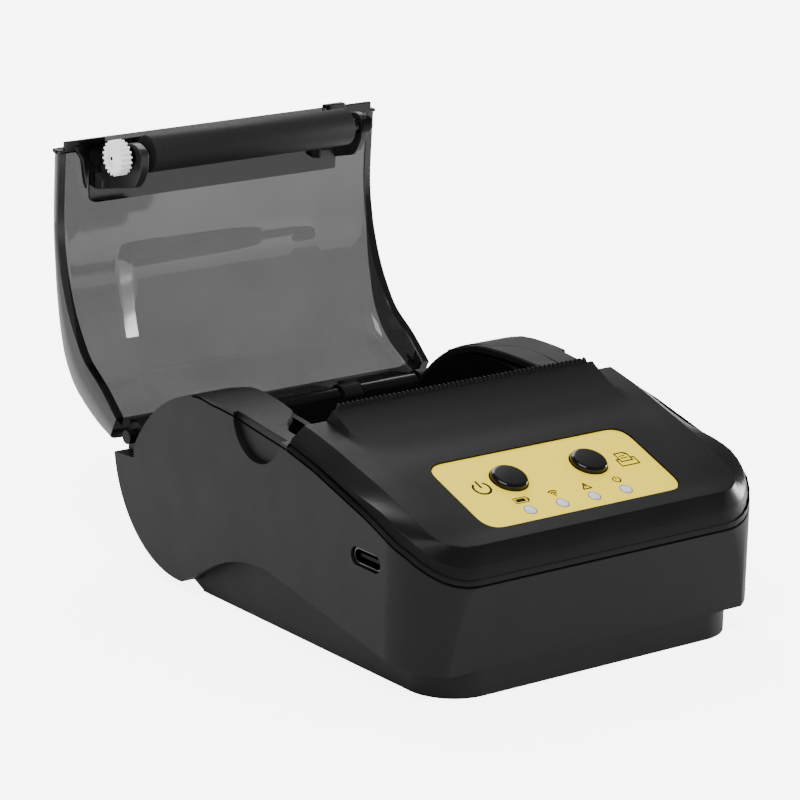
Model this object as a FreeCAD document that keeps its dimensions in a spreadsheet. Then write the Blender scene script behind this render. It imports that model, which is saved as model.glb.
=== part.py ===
import FreeCAD, Part
import math
import os
import Sketcher
from FreeCAD import Placement, Rotation, Vector

# A portable receipt printer with its paper cover open, in millimetres.
# +X is the printer's right, -Y its front, +Z up, and the table is Z = 0.

DIMENSIONS = {
    "case_half_width": 42.8,      # at the reference station along the length
    "taper_station": 16.0,
    "side_taper": 0.0294,         # each side widens towards the front
    "front_depth": 63.0,
    "rear_depth": 48.3,
    "front_corner": 13.0,
    "wall": 2.2,
    "seam_front": 23.0,
    "seam_rear": 40.2,
    "panel_slope": 19.9,          # degrees, the sloping control face
    "panel_front": 57.07,
    "panel_front_height": 31.58,
    "panel_width": 50.2,
    "panel_length": 21.9,
    "plinth_half_width": 38.9,
    "bay_half_width": 29.3,       # paper compartment, for 58 mm paper
    "roll_bore": 20.0,
    "roll_along": 17.0,
    "roll_height": 25.2,
    "hinge_along": 44.6,
    "hinge_height": 27.2,
    "hinge_pin_radius": 1.5,
    "cover_half_width": 41.7,
    "cover_wall": 2.0,
    "platen_along": 59.4,
    "platen_height": 83.6,
    "platen_radius": 4.05,
    "platen_half_length": 26.2,
    "shaft_radius": 1.5,
    "button_radius": 3.85,
    "button_spacing": 20.4,
    "led_radius": 1.33,
    "led_pitch": 8.15,
    "gear_module": 0.4,
}

doc = FreeCAD.newDocument("receipt_printer")
sheet = doc.addObject("Spreadsheet::Sheet", "Dims")
for row, (alias, number) in enumerate(DIMENSIONS.items(), start=1):
    sheet.set("A%d" % row, alias)
    sheet.set("B%d" % row, str(number))
    sheet.setAlias("B%d" % row, alias)
doc.recompute()


class Size:
    """A number together with the spreadsheet expression that gives it."""

    def __init__(self, value, text):
        self.value = value
        self.text = text

    def join(self, other, sign, value):
        return Size(value, "(%s %s %s)" % (self.text, sign, text_of(other)))

    def __add__(self, other):
        return self.join(other, "+", self.value + value_of(other))

    def __sub__(self, other):
        return self.join(other, "-", self.value - value_of(other))

    def __mul__(self, other):
        return self.join(other, "*", self.value * value_of(other))

    def __rmul__(self, other):
        return self * other

    def __truediv__(self, other):
        return self.join(other, "/", self.value / value_of(other))

    def __neg__(self):
        return Size(-self.value, "(0 - %s)" % self.text)


def value_of(number):
    return number.value if isinstance(number, Size) else float(number)


def text_of(number):
    return number.text if isinstance(number, Size) else "%.6g" % number


def dim(alias):
    return Size(float(sheet.get(alias)), "Dims." + alias)


def bind(thing, path, number):
    """Set a property, and tie it to the sheet where the number comes from there."""
    if isinstance(number, Size):
        thing.setExpression(path, number.text)
    else:
        thing.setExpression(path, "%.6g" % number)


half_width = dim("case_half_width")
wall = dim("wall")
hinge_y = dim("hinge_along")
hinge_z = dim("hinge_height")
platen_y = dim("platen_along")
platen_z = dim("platen_height")
platen_r = dim("platen_radius")
shaft_r = dim("shaft_radius")
bay = dim("bay_half_width")
pin_r = dim("hinge_pin_radius")
cover_half = dim("cover_half_width")
slope = dim("panel_slope")
RISE = math.tan(math.radians(slope.value))

PARTS = []                        # the sub-parts that are written, in order


def keep(thing, label):
    thing.Label = label
    PARTS.append(thing)
    return thing


# ---- sketch and feature helpers -------------------------------------------------------------

def new_body(label):
    return keep(doc.addObject("PartDesign::Body", label), label)


def origin_plane(body, role):
    return next(plane for plane in body.Origin.OriginFeatures if plane.Role == role)


def new_sketch(body, role, offset=0.0, tilt=None):
    """A sketch on an origin plane, moved along its normal or tilted with the control face."""
    sketch = body.newObject("Sketcher::SketchObject", "Sketch")
    sketch.AttachmentSupport = [(origin_plane(body, role), "")]
    sketch.MapMode = "FlatFace"
    if tilt is not None:
        sketch.AttachmentOffset = tilt
    elif offset:
        sketch.AttachmentOffset = Placement(Vector(0, 0, value_of(offset)), Rotation())
        bind(sketch, "AttachmentOffset.Base.z", offset)
    return sketch


def fix_point(sketch, geometry, which, point):
    """Hold a vertex at its two coordinates from the sketch origin."""
    for kind, number in (("DistanceX", point[0]), ("DistanceY", point[1])):
        index = sketch.addConstraint(
            Sketcher.Constraint(kind, -1, 1, geometry, which, value_of(number)))
        if isinstance(number, Size):
            sketch.setExpression("Constraints[%d]" % index, number.text)


def draw(sketch, points):
    """A closed outline; an entry (via, end) is an arc through via, a plain pair a corner."""
    corners = [p[1] if isinstance(p[0], tuple) else p for p in points]
    count = len(points)
    plain = [Vector(value_of(x), value_of(y), 0) for x, y in corners]
    first = sketch.GeometryCount
    flipped = []
    for i in range(count):
        start = plain[i]
        end = plain[(i + 1) % count]
        step = points[(i + 1) % count]
        if isinstance(step[0], tuple):
            via = Vector(value_of(step[0][0]), value_of(step[0][1]), 0)
            arc = Part.Arc(start, via, end)
            circle = arc.toShape().Curve
            turn = (via - start).cross(end - via).z
            sketch.addGeometry(Part.ArcOfCircle(
                Part.Circle(circle.Center, Vector(0, 0, 1), circle.Radius),
                *arc_angles(circle.Center, start, end, turn)), False)
            flipped.append(turn < 0)
        else:
            sketch.addGeometry(Part.LineSegment(start, end), False)
            flipped.append(False)
    for i in range(count):
        here = first + i
        after = first + (i + 1) % count
        tail = 1 if flipped[i] else 2
        head = 2 if flipped[(i + 1) % count] else 1
        sketch.addConstraint(Sketcher.Constraint("Coincident", here, tail, after, head))
        fix_point(sketch, here, 2 if flipped[i] else 1, corners[i])
    for i in range(count):
        shape = sketch.Geometry[first + i]
        if isinstance(shape, Part.ArcOfCircle):
            hold_centre(sketch, first + i, shape, corners[i], corners[(i + 1) % count])


def hold_centre(sketch, index, arc, start, end):
    """Fix an arc's bulge by its centre's coordinate across the chord."""
    across = abs(value_of(end[0]) - value_of(start[0])) >= abs(value_of(end[1]) - value_of(start[1]))
    kind, axis = ("DistanceY", 1) if across else ("DistanceX", 0)
    place = (arc.Center.x, arc.Center.y)[axis]
    held = sketch.addConstraint(Sketcher.Constraint(kind, -1, 1, index, 3, place))
    half_round = abs(place - value_of(start[axis])) < 1e-6
    if half_round and isinstance(start[axis], Size):
        sketch.setExpression("Constraints[%d]" % held, start[axis].text)


def arc_angles(centre, start, end, turn):
    """Start and end angles of the anticlockwise arc that covers the stretch."""
    one, two = (start, end) if turn > 0 else (end, start)
    low = math.atan2(one.y - centre.y, one.x - centre.x)
    high = math.atan2(two.y - centre.y, two.x - centre.x)
    if high < low:
        high += 2 * math.pi
    return low, high


def ring(sketch, x, y, radius):
    """A full circle held by its centre and radius."""
    index = sketch.addGeometry(
        Part.Circle(Vector(value_of(x), value_of(y), 0), Vector(0, 0, 1), value_of(radius)), False)
    fix_point(sketch, index, 3, (x, y))
    held = sketch.addConstraint(Sketcher.Constraint("Radius", index, value_of(radius)))
    if isinstance(radius, Size):
        sketch.setExpression("Constraints[%d]" % held, radius.text)


def box_points(x0, y0, x1, y1):
    return [(x0, y0), (x1, y0), (x1, y1), (x0, y1)]


def round_box(x0, y0, x1, y1, r):
    """A rectangle with quarter-round corners."""
    k = r * (1 - math.sqrt(0.5))
    return [((x0 + k, y0 + k), (x0 + r, y0)), (x1 - r, y0), ((x1 - k, y0 + k), (x1, y0 + r)),
            (x1, y1 - r), ((x1 - k, y1 - k), (x1 - r, y1)), (x0 + r, y1),
            ((x0 + k, y1 - k), (x0, y1 - r)), (x0, y0 + r)]


def pad(body, sketch, length, both=False, back=False):
    feature = body.newObject("PartDesign::Pad", "Pad")
    feature.Profile = sketch
    feature.Midplane = both
    feature.Reversed = back
    bind(feature, "Length", length)
    doc.recompute()
    return feature


def pocket(body, sketch, length, both=False, back=False):
    """Cut a sketch out of the body, and make sure that it removed something."""
    before = body.Shape.Volume
    feature = body.newObject("PartDesign::Pocket", "Pocket")
    feature.Profile = sketch
    feature.Midplane = both
    feature.Reversed = back
    bind(feature, "Length", length)
    doc.recompute()
    if not body.Shape.Volume < before - 1e-6:
        raise RuntimeError("a pocket in %s cuts nothing" % body.Label)
    return feature


def slab(label, role, points, length, offset=0.0, both=False):
    """A body of one padded outline."""
    body = new_body(label)
    sketch = new_sketch(body, role, offset)
    draw(sketch, points)
    pad(body, sketch, length, both=both)
    return body


def cut_outline(body, role, points, length, offset=0.0, both=False, back=False):
    sketch = new_sketch(body, role, offset)
    draw(sketch, points)
    return pocket(body, sketch, length, both=both, back=back)


def add_outline(body, role, points, length, offset=0.0, both=False, back=False):
    sketch = new_sketch(body, role, offset)
    draw(sketch, points)
    return pad(body, sketch, length, both=both, back=back)


def cut_circles(body, role, circles, length, offset=0.0, both=False, back=False, tilt=None):
    sketch = new_sketch(body, role, offset, tilt)
    for x, y, radius in circles:
        ring(sketch, x, y, radius)
    return pocket(body, sketch, length, both=both, back=back)


def add_circles(body, role, circles, length, offset=0.0, both=False, back=False, tilt=None):
    sketch = new_sketch(body, role, offset, tilt)
    for x, y, radius in circles:
        ring(sketch, x, y, radius)
    return pad(body, sketch, length, both=both, back=back)


def cylinder(label, radius, length, start, along="x", listed=True):
    """A Part cylinder from a start point along one axis."""
    thing = doc.addObject("Part::Cylinder", label)
    bind(thing, "Radius", radius)
    bind(thing, "Height", length)
    turn = {"x": Rotation(Vector(0, 1, 0), 90), "y": Rotation(Vector(1, 0, 0), -90),
            "z": Rotation()}[along]
    thing.Placement = Placement(Vector(*[value_of(c) for c in start]), turn)
    for axis, number in zip("xyz", start):
        bind(thing, "Placement.Base." + axis, number)
    return keep(thing, label) if listed else thing


def block(label, low, size, listed=True):
    """A Part box from its lowest corner."""
    thing = doc.addObject("Part::Box", label)
    for path, number in zip(("Length", "Width", "Height"), size):
        bind(thing, path, number)
    for axis, number in zip("xyz", low):
        bind(thing, "Placement.Base." + axis, number)
    return keep(thing, label) if listed else thing


def fuse(label, pieces):
    thing = doc.addObject("Part::MultiFuse", label)
    thing.Shapes = pieces
    return keep(thing, label)


def cut(label, base, tool, listed=True):
    thing = doc.addObject("Part::Cut", label)
    thing.Base = base
    thing.Tool = tool
    return keep(thing, label) if listed else thing


# ---- the control face's own frame ------------------------------------------------------------

PANEL_HALF = dim("panel_width").value / 2
PANEL_LENGTH = dim("panel_length").value
PANEL_CORNER = 4.3
PANEL_SHEET = 0.4
HOLE_GAP = 0.2                     # round each button, and a quarter of it round each light


def face_frame(lift=0.0):
    """Placement whose XY lies on the sloping face, origin at the panel's front edge."""
    turn = Rotation(Vector(1, 0, 0), slope.value)
    base = Vector(0, -value_of(dim("panel_front")), value_of(dim("panel_front_height")))
    return Placement(base + turn.multVec(Vector(0, 0, lift)), turn)


def face_height(y):
    """Height of the sloping face at a station along the printer."""
    return value_of(dim("panel_front_height")) + RISE * (y + value_of(dim("panel_front")))


BUTTON_UP = 13.4                   # up the slope from the panel's front edge
LED_UP = 3.35
BUTTON_X = dim("button_spacing") / 2
LED_NAMES = ("battery", "link", "fault", "power")


def led_x(index):
    return dim("led_pitch") * (index - 1.5)


# ---- casings ---------------------------------------------------------------------------------

def side_at(y, inset=0.0):
    """Half width of the tapered case at a station, less an inset."""
    return half_width - inset + (dim("taper_station") - y) * dim("side_taper")


def plan_outline(front, rear, corner, inset):
    """Tapered plan with two round front corners."""
    k = corner * (1 - math.sqrt(0.5))
    wide = side_at(-front + corner, inset)
    narrow = side_at(rear, inset)
    return [(narrow, rear), (-narrow, rear), (-wide, corner - front),
            ((-wide + k, k - front), (-wide + corner, -front)), (wide - corner, -front),
            ((wide - k, k - front), (wide, corner - front))]


def trim_to_plan(body, front, rear, corner):
    """Remove everything outside the case's plan."""
    sketch = new_sketch(body, "XY_Plane", -5.0)
    draw(sketch, box_points(-60.0, -75.0, 60.0, 60.0))
    draw(sketch, plan_outline(front, rear, corner, 0.0))
    pocket(body, sketch, 70.0, back=True)


FRONT = dim("front_depth")
REAR = dim("rear_depth")
CORNER = dim("front_corner")
UPPER_REAR = -16.3                 # where the upper case ends and the hump begins
SEAM = [(UPPER_REAR, dim("seam_rear")), (-25.5, 38.4), (-34.8, 35.9), (-43.8, 33.4), (-50.0, 31.2),
        (-55.0, 28.9), (-59.2, 25.8), (-61.4, 24.1)]
CASE_SPAN = 96.0                   # wider than the case, before its sides are trimmed
PLINTH_TOP = 14.5
THUMB_WALL = 42.0                  # half width left at the finger recesses
HINGE_NOTCH = 23.9
SCREW_PLACES = [(-31.5, -49.0), (31.5, -49.0), (-34.4, 9.0), (34.4, 9.0)]
BOSS_RADIUS = 3.0
SCREW_HOLE = 1.3
COUNTERBORE = (2.3, 1.5)           # radius and depth
FOOT_PLACES = [(-27.0, -40.0), (27.0, -40.0), (-27.0, 6.0), (27.0, 6.0)]
FOOT_RADIUS = 4.0
FOOT_DEPTH = 0.8
FLOOR = 2.0


def make_lower_case():
    body = new_body("lower_case")
    sketch = new_sketch(body, "YZ_Plane")
    draw(sketch, [(-61.6, 5.5), (-FRONT, dim("seam_front"))] + SEAM[::-1] + [
        (UPPER_REAR, 41.4), (-6.7, 42.4), ((3.0, 43.5), (12.9, 43.7)), ((29.0, 38.6), (40.6, 26.3)),
        (40.6, HINGE_NOTCH), (REAR, HINGE_NOTCH - 0.6), ((43.3, 11.6), (21.6, 2.0)),
        (11.1, 8.1), ((1.5, 12.2), (-10.6, 13.6)), (-29.5, 10.6)])
    pad(body, sketch, CASE_SPAN, both=True)
    trim_to_plan(body, FRONT.value, REAR.value, CORNER.value)
    plinth = dim("plinth_half_width")
    add_outline(body, "XY_Plane", [
        (plinth, 19.0), (-plinth, 19.0), (-plinth, -50.5),
        ((-36.0, -58.4), (-28.9, -61.4)), (28.9, -61.4), ((36.0, -58.4), (plinth, -50.5))], PLINTH_TOP)
    # the hollow: down into the plinth, wider above it, and on under the hump
    cut_outline(body, "XY_Plane", round_box(-36.7, -58.6, 36.7, 14.0, 9.0), 60.0, FLOOR, back=True)
    cut_outline(body, "XY_Plane", plan_outline(60.6, -17.5, 10.8, 2.4), 60.0, 15.8, back=True)
    cut_outline(body, "YZ_Plane", [
        (-20.0, 16.2), (-20.0, 37.4), (0.0, 40.8), (13.0, 41.3), ((27.6, 36.8), (38.2, 25.6)),
        (38.2, 21.6), (46.0, 21.4), ((41.2, 12.8), (22.5, 5.0)), (12.0, 10.8), (3.0, 14.8),
        (-9.0, 16.2)], 79.6, both=True)
    cut_outline(body, "XY_Plane", box_points(-31.2, -6.0, 31.2, 39.0), 30.0, 24.0, back=True)
    cut_circles(body, "YZ_Plane", [(dim("roll_along"), dim("roll_height"), dim("roll_bore") + 1.6)],
                62.4, both=True)
    cut_outline(body, "XY_Plane", box_points(-38.8, -18.0, 38.8, -6.9), 30.0, 20.0, back=True)
    # the port on the left side
    port = round_box(-48.6, 23.75, -38.8, 27.45, 1.8)
    cut_outline(body, "YZ_Plane", port, 10.0, -48.0, back=True)
    # finger recesses in both sides, under the cover's front corners
    thumb = [(-14.2, 41.6), (-13.4, 40.0), ((-5.5, 35.0), (2.9, 41.6)), (2.9, 44.0), (-14.2, 44.0)]
    for start in (-THUMB_WALL - 5.0, THUMB_WALL):
        cut_outline(body, "YZ_Plane", thumb, 5.0, start, back=True)
    add_lugs(body)
    add_screw_bosses(body)
    return body


LUG_INNER = 35.4
LUG_WIDTH = 3.4
LUG_RADIUS = 2.9
CENTRE_LUG = (14.0, 5.0)          # start and width of the middle knuckle


def lug_spans():
    return [(-LUG_INNER - LUG_WIDTH, LUG_WIDTH), CENTRE_LUG, (LUG_INNER, LUG_WIDTH)]


def add_lugs(body):
    """Hinge lugs on the hump's rear edge, each with a bore for the pin."""
    foot = HINGE_NOTCH - 0.4       # a little way into the case
    for start, width in lug_spans():
        add_outline(body, "YZ_Plane", [
            (hinge_y - LUG_RADIUS, foot), (hinge_y - LUG_RADIUS, hinge_z),
            ((hinge_y, hinge_z + LUG_RADIUS), (hinge_y + LUG_RADIUS, hinge_z)),
            (hinge_y + LUG_RADIUS, foot)], width, start)
    cut_circles(body, "YZ_Plane", [(hinge_y, hinge_z, pin_r + 0.02)], 90.0, both=True)


def add_screw_bosses(body):
    """Four posts inside, with a counterbored screw hole from below, and the foot recesses."""
    bore, depth = COUNTERBORE
    add_circles(body, "XY_Plane", [(x, y, BOSS_RADIUS) for x, y in SCREW_PLACES], 16.0, FLOOR - 1.0)
    cut_circles(body, "XY_Plane", [(x, y, SCREW_HOLE) for x, y in SCREW_PLACES], 30.0, -1.0, back=True)
    cut_circles(body, "XY_Plane", [(x, y, bore) for x, y in SCREW_PLACES], depth, 0.0, back=True)
    cut_circles(body, "XY_Plane", [(x, y, FOOT_RADIUS + 0.1) for x, y in FOOT_PLACES],
                FOOT_DEPTH, 0.0, back=True)


WEDGE_HALF = 31.0
WEDGE_START = -25.0
TEAR_HEIGHT = 46.9
TEAR_HALF = 30.6
TEAR_REAR = -16.4
TEAR_THICK = 0.9
TEAR_FOOT = 44.5


def make_upper_case():
    body = new_body("upper_case")
    sketch = new_sketch(body, "YZ_Plane")
    draw(sketch, [(-FRONT, dim("seam_front"))] + SEAM[::-1] + [
        (UPPER_REAR, 45.0), (-26.4, face_height(-26.4)), (-61.2, face_height(-61.2)), (-FRONT, 27.2)])
    pad(body, sketch, CASE_SPAN, both=True)
    trim_to_plan(body, FRONT.value, REAR.value, CORNER.value)
    cut_outline(body, "YZ_Plane", [
        (-58.6, 20.0), (-58.6, face_height(-58.6) - wall.value), (-18.3, 42.6), (-10.0, 42.6),
        (-10.0, 20.0)], 77.2, both=True)
    add_outline(body, "YZ_Plane", [
        (WEDGE_START, face_height(WEDGE_START) - 1.0), (WEDGE_START, face_height(WEDGE_START)),
        (UPPER_REAR, TEAR_HEIGHT), (UPPER_REAR, 43.6)], WEDGE_HALF * 2, both=True)
    # seat for the tear bar along the wedge's rear edge
    cut_outline(body, "YZ_Plane", box_points(TEAR_REAR - TEAR_THICK - 0.2, TEAR_FOOT - 0.1, -15.0, 50.0),
                TEAR_HALF * 2 + 0.2, both=True)
    seat = new_sketch(body, "XY_Plane", tilt=face_frame(-PANEL_SHEET))
    draw(seat, round_box(-PANEL_HALF - 0.1, -0.1, PANEL_HALF + 0.1, PANEL_LENGTH + 0.1, PANEL_CORNER))
    pocket(body, seat, 6.0, back=True)
    holes = [(side * BUTTON_X, BUTTON_UP, dim("button_radius") + HOLE_GAP) for side in (-1, 1)]
    holes += [(led_x(i), LED_UP, dim("led_radius") + HOLE_GAP / 4) for i in range(len(LED_NAMES))]
    cut_circles(body, "XY_Plane", holes, 6.0, tilt=face_frame(0.0))
    return body


# ---- control panel ---------------------------------------------------------------------------

def make_panel_label():
    body = new_body("panel_label")
    sketch = new_sketch(body, "XY_Plane", tilt=face_frame(-PANEL_SHEET))
    draw(sketch, round_box(-PANEL_HALF, 0.0, PANEL_HALF, PANEL_LENGTH, PANEL_CORNER))
    for side in (-1, 1):
        ring(sketch, side * BUTTON_X, BUTTON_UP, dim("button_radius") + HOLE_GAP)
    for i in range(len(LED_NAMES)):
        ring(sketch, led_x(i), LED_UP, dim("led_radius") + HOLE_GAP / 4)
    pad(body, sketch, PANEL_SHEET)


BUTTON_PROUD = 1.3
BUTTON_FLANGE_TOP = -2.5
FLANGE_THICK = 0.8
FLANGE_REACH = 0.9
STEM_END = -3.9
STEM_RADIUS = 1.4


def make_button(label, side):
    """A round cap with a retaining flange and a short stem under it."""
    body = new_body(label)
    x = side * BUTTON_X
    add_circles(body, "XY_Plane", [(x, BUTTON_UP, dim("button_radius"))],
                BUTTON_PROUD - BUTTON_FLANGE_TOP, tilt=face_frame(BUTTON_FLANGE_TOP))
    flange_foot = BUTTON_FLANGE_TOP - FLANGE_THICK
    add_circles(body, "XY_Plane", [(x, BUTTON_UP, dim("button_radius") + FLANGE_REACH)], FLANGE_THICK,
                tilt=face_frame(flange_foot))
    add_circles(body, "XY_Plane", [(x, BUTTON_UP, STEM_RADIUS)], flange_foot - STEM_END,
                tilt=face_frame(STEM_END))


KEY_BOARD_TOP = -6.65
KEY_BOARD_THICK = 1.0
SWITCH_HALF = 3.0
SWITCH_TALL = 1.6


def make_key_board():
    body = new_body("key_board")
    sketch = new_sketch(body, "XY_Plane", tilt=face_frame(KEY_BOARD_TOP - KEY_BOARD_THICK))
    draw(sketch, box_points(-26.0, 3.0, 26.0, 21.5))
    pad(body, sketch, KEY_BOARD_THICK)


def make_switch(label, side):
    body = new_body(label)
    x = side * BUTTON_X
    sketch = new_sketch(body, "XY_Plane", tilt=face_frame(KEY_BOARD_TOP))
    draw(sketch, box_points(x - SWITCH_HALF, BUTTON_UP - SWITCH_HALF, x + SWITCH_HALF,
                            BUTTON_UP + SWITCH_HALF))
    pad(body, sketch, SWITCH_TALL)
    add_circles(body, "XY_Plane", [(x, BUTTON_UP, 1.2)], 0.5,
                tilt=face_frame(KEY_BOARD_TOP + SWITCH_TALL))


def make_led(label, index):
    """A round light pipe from the panel's surface down to the key board."""
    body = new_body(label)
    add_circles(body, "XY_Plane", [(led_x(index), LED_UP, dim("led_radius"))],
                -KEY_BOARD_TOP - 0.3, tilt=face_frame(KEY_BOARD_TOP + 0.3))


# ---- paper compartment -----------------------------------------------------------------------

TUB_SHEET = 1.4


def make_paper_tub():
    """The trough that holds the roll, with its two side cheeks."""
    y = dim("roll_along")
    z = dim("roll_height")
    r = dim("roll_bore")
    outer = r + TUB_SHEET
    front_top = 38.4
    body = new_body("paper_tub")
    sketch = new_sketch(body, "YZ_Plane")
    draw(sketch, [
        (y - outer, front_top), (y - outer, z), ((y, z - outer), (y + outer, z)),
        (y + outer, 25.6), (y + r, 25.6), (y + r, z), ((y, z - r), (y - r, z)),
        (y - r, front_top)])
    pad(body, sketch, (bay + TUB_SHEET) * 2, both=True)
    for start in (-bay - TUB_SHEET, bay):
        add_outline(body, "YZ_Plane", [
            (y - outer, z), ((y, z - outer), (y + outer, z)), ((27.4, 37.4), (12.9, 41.6)),
            ((3.0, 41.4), (-4.9, 40.6))], TUB_SHEET, start)


# ---- print mechanism -------------------------------------------------------------------------

HEAD_FACE = -17.7
HEAD_LINE = 32.0


def make_mechanism():
    block("thermal_head", (-27.0, HEAD_FACE - 0.8, HEAD_LINE - 6.0), (54.0, 0.8, 10.0))
    block("head_heatsink", (-27.0, HEAD_FACE - 3.0, HEAD_LINE - 8.0), (54.0, 2.2, 13.6))
    frame = slab("mechanism_frame", "YZ_Plane", [
        (-26.6, 22.0), (-8.6, 22.0), (-8.6, 34.0), (-10.6, 36.5), (-26.6, 36.5)], 56.8, both=True)
    cut_outline(frame, "YZ_Plane", [
        (-25.6, 23.0), (-5.0, 23.0), (-5.0, 40.0), (-25.6, 40.0)], 54.4, both=True)
    # open slots that the platen shaft drops into when the cover closes
    cut_outline(frame, "YZ_Plane", [
        (-15.6, 40.0), (-15.6, 31.9), ((-13.5, 29.9), (-11.4, 31.9)), (-10.8, 36.0), (-10.0, 40.0)],
        70.0, both=True)
    # a bent leaf that pushes the head towards the platen
    slab("head_spring", "YZ_Plane", [
        (-25.6, 25.0), (-25.2, 25.0), (-25.2, 29.7), (HEAD_FACE - 3.0, 33.6),
        (HEAD_FACE - 3.0, 34.1), (-25.6, 30.0)], 30.0, both=True)
    block("paper_sensor", (-3.0, -8.9, 30.0), (6.0, 2.7, 3.0))


# ---- gears -----------------------------------------------------------------------------------

def gear_shape(y, z, teeth, width, start, phase, bore):
    """One gear's solid, drawn as a single toothed outline and pushed along X."""
    module = dim("gear_module").value
    pitch = module * teeth / 2
    tip = pitch + 0.9 * module
    root = pitch - 1.15 * module
    step = 2 * math.pi / teeth
    corners = []
    for index in range(teeth):
        middle = math.radians(phase) + index * step
        for radius, angle in ((root, -0.31), (tip, -0.10), (tip, 0.10), (root, 0.31)):
            turn = middle + angle * step
            corners.append(Vector(start, y + radius * math.cos(turn), z + radius * math.sin(turn)))
    face = Part.Face(Part.makePolygon(corners + corners[:1]))
    solid = face.extrude(Vector(width, 0, 0))
    return solid.cut(Part.makeCylinder(bore, width + 2, Vector(start - 1, y, z), Vector(1, 0, 0)))


def gear(label, stages, bore):
    """A gear of one or two toothed stages; each stage is y, z, teeth, width, start, phase."""
    solid = gear_shape(*stages[0], bore)
    for stage in stages[1:]:
        solid = solid.fuse(gear_shape(*stage, bore))
    thing = doc.addObject("Part::Feature", label)
    thing.Shape = solid
    return keep(thing, label)


AXLE_RADIUS = 0.75
LOOSE_BORE = 0.8                   # in a gear that turns on its axle
PINION_TEETH = 12
LARGE_TEETH = 36
SMALL_TEETH = 16
IDLER_TEETH = 40
MOTOR_AXIS = (-29.0, 12.0)
REDUCTION_ANGLE = 6.0
OUTER_PLANE = (-36.2, 2.2)        # start and width of the motor stage
INNER_PLANE = (-33.8, 2.3)        # start and width of the stage that reaches the platen gear
PLATE_FACE = -31.3
IDLER_ANGLE = 36.7


def stepped(point, distance, angle):
    turn = math.radians(angle)
    return (point[0] + distance * math.cos(turn), point[1] + distance * math.sin(turn))


def make_gear_train():
    module = dim("gear_module").value
    reduction = stepped(MOTOR_AXIS, module * (PINION_TEETH + LARGE_TEETH) / 2, REDUCTION_ANGLE)
    idler = stepped(reduction, module * (SMALL_TEETH + IDLER_TEETH) / 2, IDLER_ANGLE)
    print("reduction axis", reduction, "idler axis", idler)
    gear("motor_pinion", [(*MOTOR_AXIS, PINION_TEETH, OUTER_PLANE[1], OUTER_PLANE[0],
                           REDUCTION_ANGLE)], AXLE_RADIUS)
    gear("reduction_gear", [
        (*reduction, LARGE_TEETH, OUTER_PLANE[1], OUTER_PLANE[0],
         REDUCTION_ANGLE + 180 + 180 / LARGE_TEETH),
        (*reduction, SMALL_TEETH, 2.7, INNER_PLANE[0] - 0.4, IDLER_ANGLE)], LOOSE_BORE)
    gear("idler_gear", [(*idler, IDLER_TEETH, INNER_PLANE[1], INNER_PLANE[0],
                         IDLER_ANGLE + 180 + 180 / IDLER_TEETH)], LOOSE_BORE)
    cylinder("reduction_axle", AXLE_RADIUS, 5.9, (-36.5, *reduction))
    cylinder("idler_axle", AXLE_RADIUS, 4.2, (-34.8, *idler))
    cylinder("motor_shaft", AXLE_RADIUS, 7.2, (-36.4, *MOTOR_AXIS))
    plate = slab("gear_plate", "YZ_Plane", [
        (-36.0, 4.5), (-17.0, 4.5), (-7.0, 12.0), (-7.0, 24.0), (-20.0, 24.0), (-36.0, 18.0)],
        0.8, PLATE_FACE)
    cut_circles(plate, "YZ_Plane", [(*MOTOR_AXIS, 2.2), (*reduction, AXLE_RADIUS), (*idler, AXLE_RADIUS)],
                3.0, PLATE_FACE - 1.0, back=True)
    motor = cylinder("motor_can", 7.0, 11.6, (PLATE_FACE + 0.8, *MOTOR_AXIS), listed=False)
    bore = cylinder("motor_bore", 0.8, 2.6, (PLATE_FACE, *MOTOR_AXIS), listed=False)
    cut("stepper_motor", motor, bore)


# ---- electronics -----------------------------------------------------------------------------

BOARD_TOP = 23.95


def make_electronics():
    block("main_board", (-39.4, -54.0, BOARD_TOP - 1.6), (74.0, 17.4, 1.6))
    block("battery", (-17.5, -57.0, FLOOR + 0.4), (45.0, 34.0, 9.6))
    block("radio_module", (2.0, -50.0, BOARD_TOP), (12.0, 10.0, 1.2))
    block("battery_socket", (24.0, -46.0, BOARD_TOP), (6.0, 6.0, 3.0))
    cylinder("buzzer", 4.2, 2.0, (-16.0, -44.0, BOARD_TOP), "z")
    mouth = -43.9
    port = slab("usb_c_shell", "YZ_Plane", round_box(-48.17, 23.97, -39.23, 27.23, 1.55), 7.3, mouth)
    cut_outline(port, "YZ_Plane", round_box(-47.87, 24.27, -39.53, 26.93, 1.3), 6.3, mouth, back=True)
    block("usb_c_tongue", (mouth + 0.7, -47.0, 25.25), (5.6, 6.6, 0.7))
    block("head_flex_cable", (-12.0, -36.6, 23.4), (24.0, 10.0, 0.2))


# ---- cover and platen ------------------------------------------------------------------------

COVER_OUTER = [(73.2, 68.3), (72.5, 57.5), (71.7, 51.0), (70.5, 44.7), (68.4, 38.5), (64.2, 32.8),
               (56.8, 28.0)]
COVER_TOP = 84.0
COVER_RIM = [(47.6, 30.0), (50.6, 33.2), (54.0, 36.0), (60.0, 40.2), (63.6, 44.8), (66.4, 49.8),
             (68.4, 55.0), (69.8, 60.2), (70.9, 68.4)]
COVER_INNER = [(58.0, 31.0), (62.6, 34.4), (66.4, 39.4), (68.4, 45.2), (69.6, 51.2), (70.5, 57.6),
               (71.2, 68.3)]
BULGE_HALF = 26.0
BULGE_OUTER = [(66.0, 32.6), (70.4, 38.6), (72.4, 44.8), (73.4, 51.0), (73.8, 57.0)]
KNUCKLE_RADIUS = 2.9


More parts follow.
